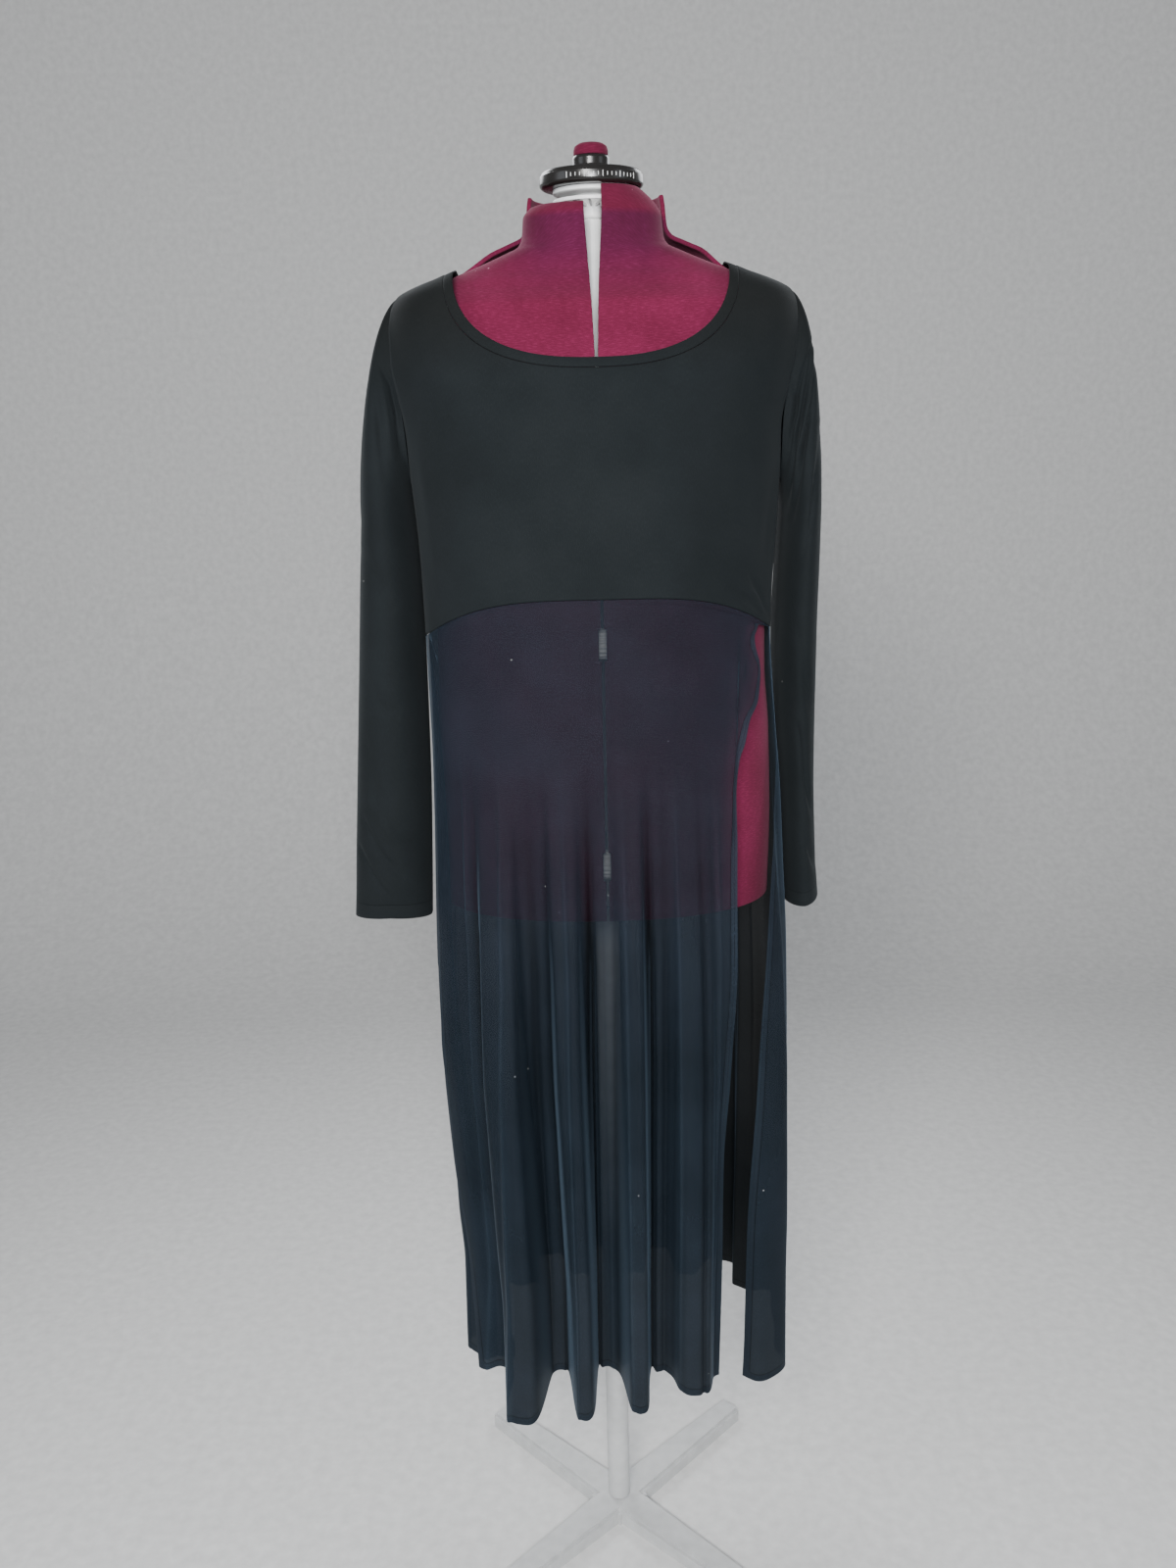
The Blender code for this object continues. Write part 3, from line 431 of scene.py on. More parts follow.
def makeKnitGroup():  # fine grain from the cut's own coordinates, longer threads and soft mottling
    values = {"Fine": 1500.0, "Across": 300.0, "Down": 900.0, "Mottle": 14.0}
    tree, entry, leave = newGroup("knitGrain", values, ["Height", "Threads", "Mottle"])
    cut = addNode(tree, "UVMap", uv_map="cut").outputs["UV"]
    parts = addNode(tree, "SeparateXYZ", {0: cut})
    stretched = addNode(tree, "CombineXYZ", {
        "X": mathNode(tree, "MULTIPLY", parts.outputs["X"], entry.outputs["Across"]),
        "Y": mathNode(tree, "MULTIPLY", parts.outputs["Y"], entry.outputs["Down"])}).outputs["Vector"]
    threads = addNode(tree, "TexNoise", {"Vector": stretched, "Scale": 1.0, "Detail": 2.0}).outputs["Fac"]
    fine = addNode(tree, "TexNoise", {"Vector": cut, "Scale": entry.outputs["Fine"], "Detail": 1.0})
    place = addNode(tree, "TexCoord").outputs["Object"]
    large = addNode(tree, "TexNoise",
                    {"Vector": place, "Scale": entry.outputs["Mottle"], "Detail": 5.0, "Roughness": 0.6})
    both = mathNode(tree, "MULTIPLY_ADD", threads, 0.6, mathNode(tree, "MULTIPLY", fine.outputs["Fac"], 0.4))
    tree.links.new(both, leave.inputs["Height"])
    tree.links.new(threads, leave.inputs["Threads"])
    tree.links.new(large.outputs["Fac"], leave.inputs["Mottle"])
    return tree


stitching = {"line": 0.0006, "pitch": 2100.0, "dash": -0.35, "thread": 0.00045, "rowsApart": 0.003}


def makeHemGroup():  # the turned band along an edge, the line where it ends and two rows of stitches
    tree, entry, leave = newGroup("turnedHem", {"Width": 0.009, "Row": 0.0065}, ["Band", "Line", "Stitch"])
    away = addNode(tree, "Attribute", attribute_name="fromEdge").outputs["Fac"]
    band = mathNode(tree, "LESS_THAN", away, entry.outputs["Width"])
    line = mathNode(tree, "COMPARE", away, entry.outputs["Width"], stitching["line"])
    cut = addNode(tree, "UVMap", uv_map="cut").outputs["UV"]
    parts = addNode(tree, "SeparateXYZ", {0: cut})
    run = mathNode(tree, "ADD", parts.outputs["X"], parts.outputs["Y"])
    run = mathNode(tree, "MULTIPLY", run, stitching["pitch"])
    dash = mathNode(tree, "GREATER_THAN", mathNode(tree, "SINE", run), stitching["dash"])
    first = mathNode(tree, "COMPARE", away, entry.outputs["Row"], stitching["thread"])
    inner = mathNode(tree, "SUBTRACT", entry.outputs["Row"], stitching["rowsApart"])
    second = mathNode(tree, "COMPARE", away, inner, stitching["thread"])
    rows = mathNode(tree, "MULTIPLY", dash, mathNode(tree, "MAXIMUM", first, second))
    tree.links.new(band, leave.inputs["Band"])
    tree.links.new(line, leave.inputs["Line"])
    tree.links.new(rows, leave.inputs["Stitch"])
    return tree


def makeLintGroup():  # sparse pale specks
    tree, entry, leave = newGroup("lintSpecks", {"Scale": 75.0, "Size": 0.07, "Share": 0.035}, ["Mask"])
    place = addNode(tree, "TexCoord").outputs["Object"]
    cells = addNode(tree, "TexVoronoi", {"Vector": place, "Scale": entry.outputs["Scale"]})
    pick = addNode(tree, "SeparateColor", {"Color": cells.outputs["Color"]}).outputs["Red"]
    near = mathNode(tree, "LESS_THAN", cells.outputs["Distance"], entry.outputs["Size"])
    chosen = mathNode(tree, "LESS_THAN", pick, entry.outputs["Share"])
    tree.links.new(mathNode(tree, "MULTIPLY", near, chosen), leave.inputs["Mask"])
    return tree


knitGroup = makeKnitGroup()
hemGroup = makeHemGroup()
lintGroup = makeLintGroup()


def useGroup(tree, group, **values):
    node = addNode(tree, "Group", node_tree=group)
    for key, value in values.items():
        node.inputs[key].default_value = value
    return node


def mixColour(tree, factor, first, second, blend="MIX"):
    node = addNode(tree, "Mix", data_type="RGBA", blend_type=blend)
    for index, value in ((0, factor), (6, first), (7, second)):
        if isinstance(value, bpy.types.NodeSocket):
            tree.links.new(value, node.inputs[index])
        else:
            node.inputs[index].default_value = value if index == 0 else (*value, 1.0)
    return node.outputs[2]


def clothMaterial(name, look):
    made, tree, shader = newMaterial(name)
    grain = useGroup(tree, knitGroup, Fine=look["fine"], Across=look["across"], Down=look["down"],
                     Mottle=look["mottle"])
    hem = useGroup(tree, hemGroup, Width=look["hem"], Row=look["hem"] * 0.8)
    lint = useGroup(tree, lintGroup, Share=look["lint"])
    colour = rampNode(tree, grain.outputs["Mottle"], [(0.32, look["dark"]), (0.68, look["light"])])
    threads = rampNode(tree, grain.outputs["Height"], [(0.0, look["low"]), (1.0, look["high"])])
    colour = mixColour(tree, 1.0, colour, threads, "MULTIPLY")
    pale = rampNode(tree, grain.outputs["Threads"], [(0.5, (1, 1, 1)), (0.78, look["thread"])])
    colour = mixColour(tree, 1.0, colour, pale, "MULTIPLY")
    # painted light and shade by height, full within the given half width of the middle
    place = addNode(tree, "TexCoord").outputs["Object"]
    height = addNode(tree, "SeparateXYZ", {0: place}).outputs["Z"]
    rise = addNode(tree, "MapRange",
                   {"Value": height, "From Min": look["paintedShadingFrom"], "From Max": look["paintedShadingTo"]})
    paintedShadingByHeight = rampNode(tree, rise.outputs["Result"], look["paintedShadingByHeight"])
    beside = mathNode(tree, "ABSOLUTE", addNode(tree, "SeparateXYZ", {0: place}).outputs["X"])
    inner = addNode(tree, "MapRange", {"Value": beside, "From Min": look["paintedShadingHalf"],
                                       "From Max": look["paintedShadingHalf"] * 1.9, "To Min": 1.0, "To Max": 0.25})
    colour = mixColour(tree, inner.outputs["Result"], colour, mixColour(tree, 1.0, colour, paintedShadingByHeight, "MULTIPLY"))
    for part, tint in (("Band", look["band"]), ("Line", look["line"])):
        colour = mixColour(tree, hem.outputs[part], colour, mixColour(tree, 1.0, colour, tint, "MULTIPLY"))
    colour = mixColour(tree, hem.outputs["Stitch"], colour, look["stitch"])
    colour = mixColour(tree, lint.outputs["Mask"], colour, look["speck"])
    tree.links.new(colour, shader.inputs["Base Color"])
    shader.inputs["Roughness"].default_value = look["roughness"]
    shader.inputs["Sheen Weight"].default_value = look["sheen"]
    shader.inputs["Sheen Roughness"].default_value = look["sheenSpread"]
    shader.inputs["Sheen Tint"].default_value = (*look["sheenTint"], 1)
    shader.inputs["Specular IOR Level"].default_value = look["gloss"]
    relief = addNode(tree, "Bump", {"Height": grain.outputs["Height"], "Distance": look["bump"]})
    relief.inputs["Strength"].default_value = 0.6
    tree.links.new(relief.outputs["Normal"], shader.inputs["Normal"])
    return made


def sheer(material, look):  # lets some light and some of what lies behind through the mesh; paints highlight and shade along the folds and darker, browner shade on the inside faces
    tree = material.node_tree
    output = next(node for node in tree.nodes if node.type == "OUTPUT_MATERIAL")
    shader = next(node for node in tree.nodes if node.type == "BSDF_PRINCIPLED")
    place = addNode(tree, "TexCoord").outputs["Object"]
    height = addNode(tree, "SeparateXYZ", {0: place}).outputs["Z"]
    upward = addNode(tree, "MapRange", {
        "Value": height, "From Min": look["denseBelow"], "From Max": look["openAbove"],
        "To Min": look["openLow"], "To Max": look["openHigh"]}).outputs["Result"]
    facing = addNode(tree, "LayerWeight", {"Blend": 0.4}).outputs["Facing"]
    seen = mathNode(tree, "MULTIPLY", upward, mathNode(tree, "SUBTRACT", 1.0, facing))
    hem = useGroup(tree, hemGroup, Width=look["hem"])
    closed = mathNode(tree, "MULTIPLY_ADD", hem.outputs["Band"], -look["closedHem"], 1.0)
    seen = mathNode(tree, "MULTIPLY", seen, closed)
    inside = addNode(tree, "NewGeometry").outputs["Backfacing"]
    closed = mathNode(tree, "MULTIPLY_ADD", inside, -look["closedInside"], 1.0)
    seen = mathNode(tree, "MULTIPLY", seen, closed)
    rays = addNode(tree, "LightPath")
    shadow = mathNode(tree, "MULTIPLY", rays.outputs["Is Shadow Ray"], look["openToLight"])
    share = mathNode(tree, "MAXIMUM", seen, shadow)
    outer = shader.inputs["Base Color"].links[0].from_socket
    # painted highlight and shade along the folds
    paintedShade = addNode(tree, "Attribute", attribute_name="paintedShade").outputs["Fac"]
    paintedShade = mathNode(tree, "ADD", paintedShade, 1.0)
    shade = addNode(tree, "CombineColor", {0: paintedShade, 1: paintedShade, 2: paintedShade}).outputs[0]
    outer = mixColour(tree, 1.0, outer, shade, "MULTIPLY")
    # the inside faces are painted darker and browner, a painted shade
    colour = mixColour(tree, inside, outer, mixColour(tree, 1.0, outer, look["inner"], "MULTIPLY"))
    tree.links.new(colour, shader.inputs["Base Color"])
    clear = addNode(tree, "BsdfTransparent")
    both = addNode(tree, "MixShader", {0: share})
    tree.links.new(shader.outputs["BSDF"], both.inputs[1])
    tree.links.new(clear.outputs["BSDF"], both.inputs[2])
    tree.links.new(both.outputs["Shader"], output.inputs["Surface"])
    return material


def plainMaterial(name, colour, roughness):
    made, tree, shader = newMaterial(name)
    place = addNode(tree, "TexCoord").outputs["Object"]
    noise = addNode(tree, "TexNoise", {"Vector": place, "Scale": 60.0, "Detail": 4.0}).outputs["Fac"]
    dim = tuple(0.86 * value for value in colour)
    tree.links.new(rampNode(tree, noise, [(0.3, dim), (0.7, colour)]), shader.inputs["Base Color"])
    wear = addNode(tree, "MapRange",
                   {"Value": noise, "To Min": roughness * 0.8, "To Max": roughness * 1.25})
    tree.links.new(wear.outputs["Result"], shader.inputs["Roughness"])
    return made


jerseyLook = {
    "dark": (0.0083, 0.0107, 0.012), "light": (0.0112, 0.014, 0.0157),
    "low": (0.72, 0.72, 0.72), "high": (1.25, 1.25, 1.25), "thread": (1.12, 1.12, 1.12),
    "hem": 0.018, "band": (1.12, 1.12, 1.12), "line": (0.55, 0.55, 0.55), "stitch": (0.012, 0.014, 0.015),
    "lint": 0.02, "speck": (0.25, 0.25, 0.24),
    "roughness": 0.85, "gloss": 0.1, "sheen": 0.03, "sheenTint": (0.75, 0.85, 0.9), "sheenSpread": 0.5,
    "fine": 1800.0, "across": 900.0, "down": 260.0, "mottle": 11.0, "bump": 0.0004,
    "paintedShadingByHeight": [(0.36, (1, 1, 1)), (0.56, (0.88, 0.78, 0.7))],  # painted shade, warmer and darker on the shoulder tops, by height between the two below
    "paintedShadingHalf": 1.0, "paintedShadingFrom": 1.3, "paintedShadingTo": 1.66,
}
meshLook = {
    "dark": (0.01, 0.0154, 0.0222), "light": (0.0152, 0.0228, 0.033),
    "low": (0.6, 0.6, 0.6), "high": (1.3, 1.3, 1.3), "thread": (1.15, 1.15, 1.15),
    "hem": 0.009, "band": (1.15, 1.15, 1.15), "line": (0.4, 0.4, 0.4), "stitch": (0.01, 0.013, 0.018),
    "lint": 0.012, "speck": (0.3, 0.3, 0.3),
    "roughness": 0.62, "gloss": 0.08, "sheen": 0.08, "sheenTint": (0.42, 0.62, 0.85), "sheenSpread": 0.3,
    "fine": 1600.0, "across": 700.0, "down": 300.0, "mottle": 9.0, "bump": 0.0003,
    # painted shade by height: darker towards the hem, lighter towards the top
    "paintedShadingByHeight": [(0.0, (0.84, 0.86, 0.86)), (1.0, (1.35, 1.26, 1.28))],
    "paintedShadingHalf": 1.0, "paintedShadingFrom": 0.7, "paintedShadingTo": 0.89,
    "openLow": 0.02, "openHigh": 0.48, "denseBelow": 0.45, "openAbove": 0.9,  # share seen through
    # inner: the inside faces painted darker and browner, a painted shade
    "openToLight": 0.12, "closedInside": 0.85, "closedHem": 0.7, "inner": (0.85, 0.68, 0.54),
}
feltLook = {
    "dark": (0.106, 0.006, 0.026), "light": (0.148, 0.0095, 0.04),
    "low": (0.6, 0.5, 0.6), "high": (1.3, 1.45, 1.4), "thread": (1.35, 1.9, 1.6),
    "hem": 0.0, "band": (1, 1, 1), "line": (1, 1, 1), "stitch": (0.2, 0.02, 0.05),
    "lint": 0.02, "speck": (0.42, 0.2, 0.26),
    "roughness": 0.95, "gloss": 0.2, "sheen": 0.12, "sheenTint": (0.9, 0.35, 0.5), "sheenSpread": 0.5,
    "fine": 1300.0, "across": 160.0, "down": 1000.0, "mottle": 14.0, "bump": 0.0006,
    # painted shade by height: the front of the neck darker and more violet, the dome above lighter again,
    # strongest near the middle
    "paintedShadingByHeight": [(0.57, (1, 1, 1)), (0.71, (0.6, 0.64, 0.86)), (0.795, (0.56, 0.62, 0.84)),
            (0.812, (0.85, 0.8, 0.8))],
    "paintedShadingHalf": 0.052, "paintedShadingFrom": 1.3, "paintedShadingTo": 1.66,
}
jersey = clothMaterial("jersey", jerseyLook)
mesh = sheer(clothMaterial("mesh", meshLook), meshLook)
felt = clothMaterial("felt", feltLook)
blackGloss = plainMaterial("blackGloss", (0.012, 0.011, 0.01), 0.24)
whitePlastic = plainMaterial("whitePlastic", (0.93, 0.94, 0.93), 0.38)
paleMetal = plainMaterial("paleMetal", (0.6, 0.61, 0.61), 0.42)
print("materials made")


# Bodice

bodice = {
    "columns": 144,
    "rows": 150,
    "thickness": 0.0008,
    "neckShare": 11 / 14,   # of the top edge; the rest is the shoulder seam
    "neckLeft": 0.1425,
    "neckRight": 0.136,
    "frontDrop": 0.0945,
    "backDrop": 0.045,
    "squareness": 2.5,
    "bindingWidth": 0.0095,
    "tipHeight": 1.516,
    "underarmHeight": 1.325,
    "armholeFront": 13.0,
    "armholeBack": 14.0,
    "sideSeamShare": 0.32,
    "fade": 0.03,
    "creasesFront": [
        ([(0.126, 1.223), (0.152, 1.205), (0.173, 1.178)], 0.003, -0.0028),
        ([(0.14, 1.226), (0.16, 1.206), (0.176, 1.181)], 0.0028, 0.002),
        ([(0.15, 1.234), (0.165, 1.208), (0.177, 1.182)], 0.003, -0.0028),
        ([(0.198, 1.405), (0.188, 1.34), (0.178, 1.28), (0.172, 1.23)], 0.009, -0.004),
        ([(-0.206, 1.42), (-0.193, 1.35), (-0.184, 1.27), (-0.18, 1.21)], 0.008, -0.003),
        ([(0.15, 1.48), (0.12, 1.45), (0.098, 1.44)], 0.012, -0.0016),
        ([(-0.156, 1.48), (-0.128, 1.448), (-0.1, 1.436)], 0.012, -0.0016),
        ([(-0.165, 1.185), (-0.12, 1.232), (-0.06, 1.252)], 0.014, 0.0018),
        ([(0.16, 1.19), (0.11, 1.236), (0.05, 1.254)], 0.014, 0.0018),
        ([(-0.1, 1.3), (0.0, 1.29), (0.1, 1.302)], 0.03, 0.002),
    ],
    "creasesBack": [
        ([(0.19, 1.4), (0.15, 1.33), (0.11, 1.3)], 0.01, -0.003),
        ([(-0.19, 1.4), (-0.15, 1.33), (-0.11, 1.3)], 0.01, -0.003),
        ([(0.12, 1.215), (0.06, 1.25), (0.0, 1.262)], 0.011, 0.0025),
        ([(-0.13, 1.22), (-0.06, 1.24), (0.01, 1.24)], 0.011, -0.0022),
        ([(-0.11, 1.48), (0.0, 1.46), (0.11, 1.48)], 0.014, -0.0018),
    ],
}


def shoulderHeight(sideways):
    upper = [(row[2], row[0]) for row in dress["sections"] if row[0] >= bodice["tipHeight"]]
    return smoothThrough(upper, sideways)


def necklinePlace(share, side, front, width):  # angle and height; share 0 in the middle and 1 on the shoulder
    turn = share * np.pi / 2
    drop = bodice["frontDrop"] if front else bodice["backDrop"]
    reach = (bodice["neckRight"] if side > 0 else bodice["neckLeft"]) + width
    top = shoulderHeight(reach)
    low = shoulderHeight(bodice["neckLeft"]) - drop - width
    exponent = 2 / bodice["squareness"]
    sideways = reach * np.sin(turn) ** exponent
    height = top - (top - low) * np.maximum(np.cos(turn), 0.0) ** exponent
    angle = np.abs(angleAt(side * sideways, height))
    return np.minimum(angle, 90.0 - seamLean(height, front)), height


def armholePlace(turn, front):  # turn 0 at the shoulder and 180 under the arm
    middle = (bodice["tipHeight"] + bodice["underarmHeight"]) / 2
    reach = (bodice["tipHeight"] - bodice["underarmHeight"]) / 2
    height = middle + reach * np.cos(np.radians(turn))
    widest = bodice["armholeFront"] if front else bodice["armholeBack"]
    lean = np.maximum(widest * np.sin(np.radians(turn)), seamLean(height, front))
    return 90.0 - lean, height


def bodiceEdges(front, side, u, v):  # the patch's top, bottom, middle and side, each as (angle, height)
    width = bodice["bindingWidth"] + dress["seamGap"]
    split = bodice["neckShare"]
    neckAngle, neckHeight = necklinePlace(np.minimum(u / split, 1.0), side, front, width)
    neckEnd = (bodice["neckRight"] if side > 0 else bodice["neckLeft"]) + width
    tip = column(dress["sections"], 2, np.array(bodice["tipHeight"]))
    shoulder = shoulderHeight(neckEnd + (tip - neckEnd) * np.clip((u - split) / (1 - split), 0.0, 1.0))
    onNeck = u <= split
    topAngle = np.where(onNeck, neckAngle, 90.0 - seamLean(shoulder, front))
    top = topAngle, np.where(onNeck, neckHeight, shoulder)
    corner = 90.0 - seamLean(np.array(waist["side"]), front)
    lift = dress["seamGap"] / 2 + dress["seamSpare"]
    bottom = corner * u, waistHeight(corner * u if front else 180.0 - corner * u) + lift
    middle = np.zeros_like(v), bottom[1][0] + (top[1][0] - bottom[1][0]) * v
    share = bodice["sideSeamShare"]
    seamHeight = bottom[1][-1] + (bodice["underarmHeight"] - bottom[1][-1]) * np.minimum(v / share, 1.0)
    armAngle, armHeight = armholePlace(180.0 * (1 - np.maximum(v, share)) / (1 - share), front)
    onSeam = v < share
    edgeAngle = np.where(onSeam, 90.0 - seamLean(seamHeight, front), armAngle)
    edge = edgeAngle, np.where(onSeam, seamHeight, armHeight)
    return top, bottom, middle, edge


def bodiceHalf(front, side):
    u = np.linspace(0.0, 1.0, bodice["columns"] // 2 + 1)
    v = np.linspace(0.0, 1.0, bodice["rows"] + 1)
    top, bottom, middle, edge = bodiceEdges(front, side, u, v)
    uu, vv = u[None, :], v[:, None]
    made = []
    for k in (0, 1):
        corners = (
            (1 - uu) * (1 - vv) * bottom[k][0] + uu * (1 - vv) * bottom[k][-1]
            + (1 - uu) * vv * top[k][0] + uu * vv * top[k][-1]
        )
        sides = (1 - uu) * middle[k][:, None] + uu * edge[k][:, None]
        made.append((1 - vv) * bottom[k] + vv * top[k] + sides - corners)
    return made


def makeBodice(front):
    leftAngle, leftHeight = bodiceHalf(front, -1)
    rightAngle, rightHeight = bodiceHalf(front, 1)
    if front:
        angle = np.concatenate([-leftAngle[:, :0:-1], rightAngle], 1)
        height = np.concatenate([leftHeight[:, :0:-1], rightHeight], 1)
    else:
        angle = np.concatenate([180.0 - rightAngle[:, :0:-1], 180.0 + leftAngle], 1)
        height = np.concatenate([rightHeight[:, :0:-1], leftHeight], 1)
    points = dressPoint(angle, height)
    edge = np.minimum(np.linspace(0, 1, points.shape[0]), np.linspace(1, 0, points.shape[0]))[:, None]
    fade = smoothStep(edge / bodice["fade"])[..., None]
    marks = bodice["creasesFront"] if front else bodice["creasesBack"]
    points = points + gridNormals(points) * creases(points, marks)[..., None] * fade
    name = "bodiceFront" if front else "bodiceBack"
    made = gridMesh(name, [(points, False)], jersey, thickness=bodice["thickness"])
    addPiece(made, ["bodice_front" if front else "bodice_back"])


binding = {
    "steps": 96,
    "round": 12,
    "thickness": 0.0022,
    "boxiness": 0.6,
    "turnStep": 0.4,
    "heightStep": 0.002,
}


def makeBinding():
    across = bodice["bindingWidth"]
    rings = []
    for front in (True, False):
        for k in range(binding["steps"]):
            share = (1 - 2 * k / binding["steps"]) if front else (2 * k / binding["steps"] - 1)
            side = -1 if share > 0 else 1
            ring = []
            for j in range(binding["round"]):
                turn = 2 * math.pi * j / binding["round"]
                width = across / 2 * (1 - signedPower(math.cos(turn), binding["boxiness"]))
                raised = binding["thickness"] / 2 * signedPower(math.sin(turn), binding["boxiness"])
                angle, height = necklinePlace(np.array(abs(share)), side, front, width)
                if abs(share) == 1:
                    angle = np.array(90.0)
                if not front:
                    angle = 180.0 - angle
                signed = side * angle
                here = dressPoint(signed, height)
                step, rise = binding["turnStep"], binding["heightStep"]
                beside = dressPoint(signed + step, height) - dressPoint(signed - step, height)
                upward = dressPoint(signed, height + rise) - dressPoint(signed, height - rise)
                normal = np.cross(beside, upward)
                normal /= np.linalg.norm(normal)
                ring.append(here + normal * (raised + (binding["thickness"] - dress["wall"]) / 2))
            rings.append(ring)
    rings.append(rings[0])
    points = np.array(rings)
    made = gridMesh("neckBinding", [(points, True)], jersey)
    addPiece(made, ["neck_binding"])


# Sleeves

sleeve = {
    "around": 144,
    "capRings": 70,
    "rings": 130,
    "thickness": 0.0008,
    "step": -0.0009,      # the cap starts just inside the armhole edge
    "fullness": 0.3,
    "lean": 0.35,
    "fall": 1.15,
    "corner": 0.55,
    "cuffStart": 0.9,
    "cuffReach": 0.062,
    "backCreases": -0.8,  # creases on the back half run the other way and are softer
    "left": [  # height, inner, outer, front, back, outwards from the middle
        (1.29, 0.201, 0.256, -0.064, 0.058), (1.23, 0.1975, 0.261, -0.064, 0.056),
        (1.16, 0.197, 0.2665, -0.062, 0.053), (1.08, 0.1975, 0.273, -0.059, 0.05),
        (1.000, 0.1985, 0.2795, -0.055, 0.045), (0.92, 0.201, 0.286, -0.048, 0.038),
        (0.86, 0.2035, 0.2905, -0.04, 0.031), (0.838, 0.2045, 0.2925, -0.036, 0.027),
    ],
    "right": [
        (1.29, 0.202, 0.242, -0.052, 0.08), (1.23, 0.199, 0.2415, -0.05, 0.083),
        (1.16, 0.196, 0.2405, -0.046, 0.084), (1.08, 0.197, 0.2405, -0.04, 0.084),
        (1.000, 0.2025, 0.241, -0.032, 0.082), (0.92, 0.2065, 0.244, -0.024, 0.077),
        (0.86, 0.21, 0.248, -0.016, 0.072), (0.838, 0.2115, 0.25, -0.012, 0.07),
    ],
    "leftCreases": [
        ([(-0.2276, 1.452), (-0.214, 1.43), (-0.208, 1.4), (-0.206, 1.35)], 0.003, -0.005),
        ([(-0.232, 1.44), (-0.226, 1.39), (-0.222, 1.33)], 0.005, -0.0035),
        ([(-0.226, 1.45), (-0.219, 1.405), (-0.214, 1.35)], 0.003, 0.002),
        ([(-0.274, 0.965), (-0.25, 0.92), (-0.228, 0.89)], 0.0035, -0.0045),
        ([(-0.282, 0.93), (-0.258, 0.885), (-0.24, 0.862)], 0.0035, -0.0042),
        ([(-0.266, 0.99), (-0.24, 0.945), (-0.222, 0.93)], 0.006, 0.003),
        ([(-0.258, 1.125), (-0.238, 1.09), (-0.22, 1.082)], 0.008, -0.0032),
        ([(-0.252, 1.265), (-0.232, 1.22), (-0.215, 1.2)], 0.009, -0.0032),
        ([(-0.262, 1.06), (-0.254, 1.000), (-0.258, 0.94)], 0.007, -0.0026),
    ],
    "rightCreases": [
        ([(0.2275, 1.465), (0.219, 1.416), (0.206, 1.356), (0.203, 1.283)], 0.0022, -0.0065),
        ([(0.225, 1.461), (0.212, 1.421), (0.203, 1.373), (0.2, 1.329)], 0.0022, -0.0055),
        ([(0.231, 1.456), (0.226, 1.403), (0.214, 1.35), (0.206, 1.274)], 0.0022, -0.0065),
        ([(0.229, 1.46), (0.222, 1.41), (0.21, 1.352), (0.204, 1.28)], 0.002, 0.003),
        ([(0.205, 1.425), (0.208, 1.4), (0.206, 1.38)], 0.0026, -0.0045),
        ([(0.236, 1.38), (0.228, 1.31), (0.216, 1.24)], 0.0035, -0.004),
        ([(0.214, 1.06), (0.226, 0.99), (0.236, 0.945)], 0.003, -0.0048),
        ([(0.224, 0.93), (0.236, 0.9), (0.246, 0.872)], 0.0035, -0.0035),
        ([(0.212, 1.17), (0.222, 1.11), (0.23, 1.06)], 0.005, -0.003),
    ],
    "leftCuff": [0.0, 0.004, -0.002, -0.006],   # lift at the outer side, front, inner side and back
    "rightCuff": [0.006, -0.002, -0.004, 0.001],
}


def sleeveRing(rows, height, side):
    inner, outer, front, back = (float(column(rows, i, np.array(height))) for i in (1, 2, 3, 4))
    turn = 2 * np.pi * np.arange(sleeve["around"]) / sleeve["around"]
    across, deep = np.cos(turn), np.sin(turn)
    corner = (across < 0) & (deep < 0)  # the inner back corner lies fuller against the body
    across = np.where(corner, signedPower(across, sleeve["corner"]), across)
    deep = np.where(corner, signedPower(deep, sleeve["corner"]), deep)
    x = side * ((inner + outer) / 2 + (outer - inner) / 2 * across)
    y = (front + back) / 2 - (back - front) / 2 * deep
    return np.stack([x, y, np.full_like(x, height)], -1)


def armholeRing(side):
    turn = 360.0 * np.arange(sleeve["around"]) / sleeve["around"]
    front = turn <= 180.0
    frontAngle, frontHeight = armholePlace(turn, True)
    backAngle, backHeight = armholePlace(360.0 - turn, False)
    angle = np.where(front, frontAngle, 180.0 - backAngle)
    angle[turn == 0.0] = 90.0
    angle[turn == 180.0] = 90.0
    height = np.where(front, frontHeight, backHeight)
    ring = dressPoint(side * angle, height)
    ring[:, 0] += side * (sleeve["step"] + dress["wall"] / 2)
    return ring


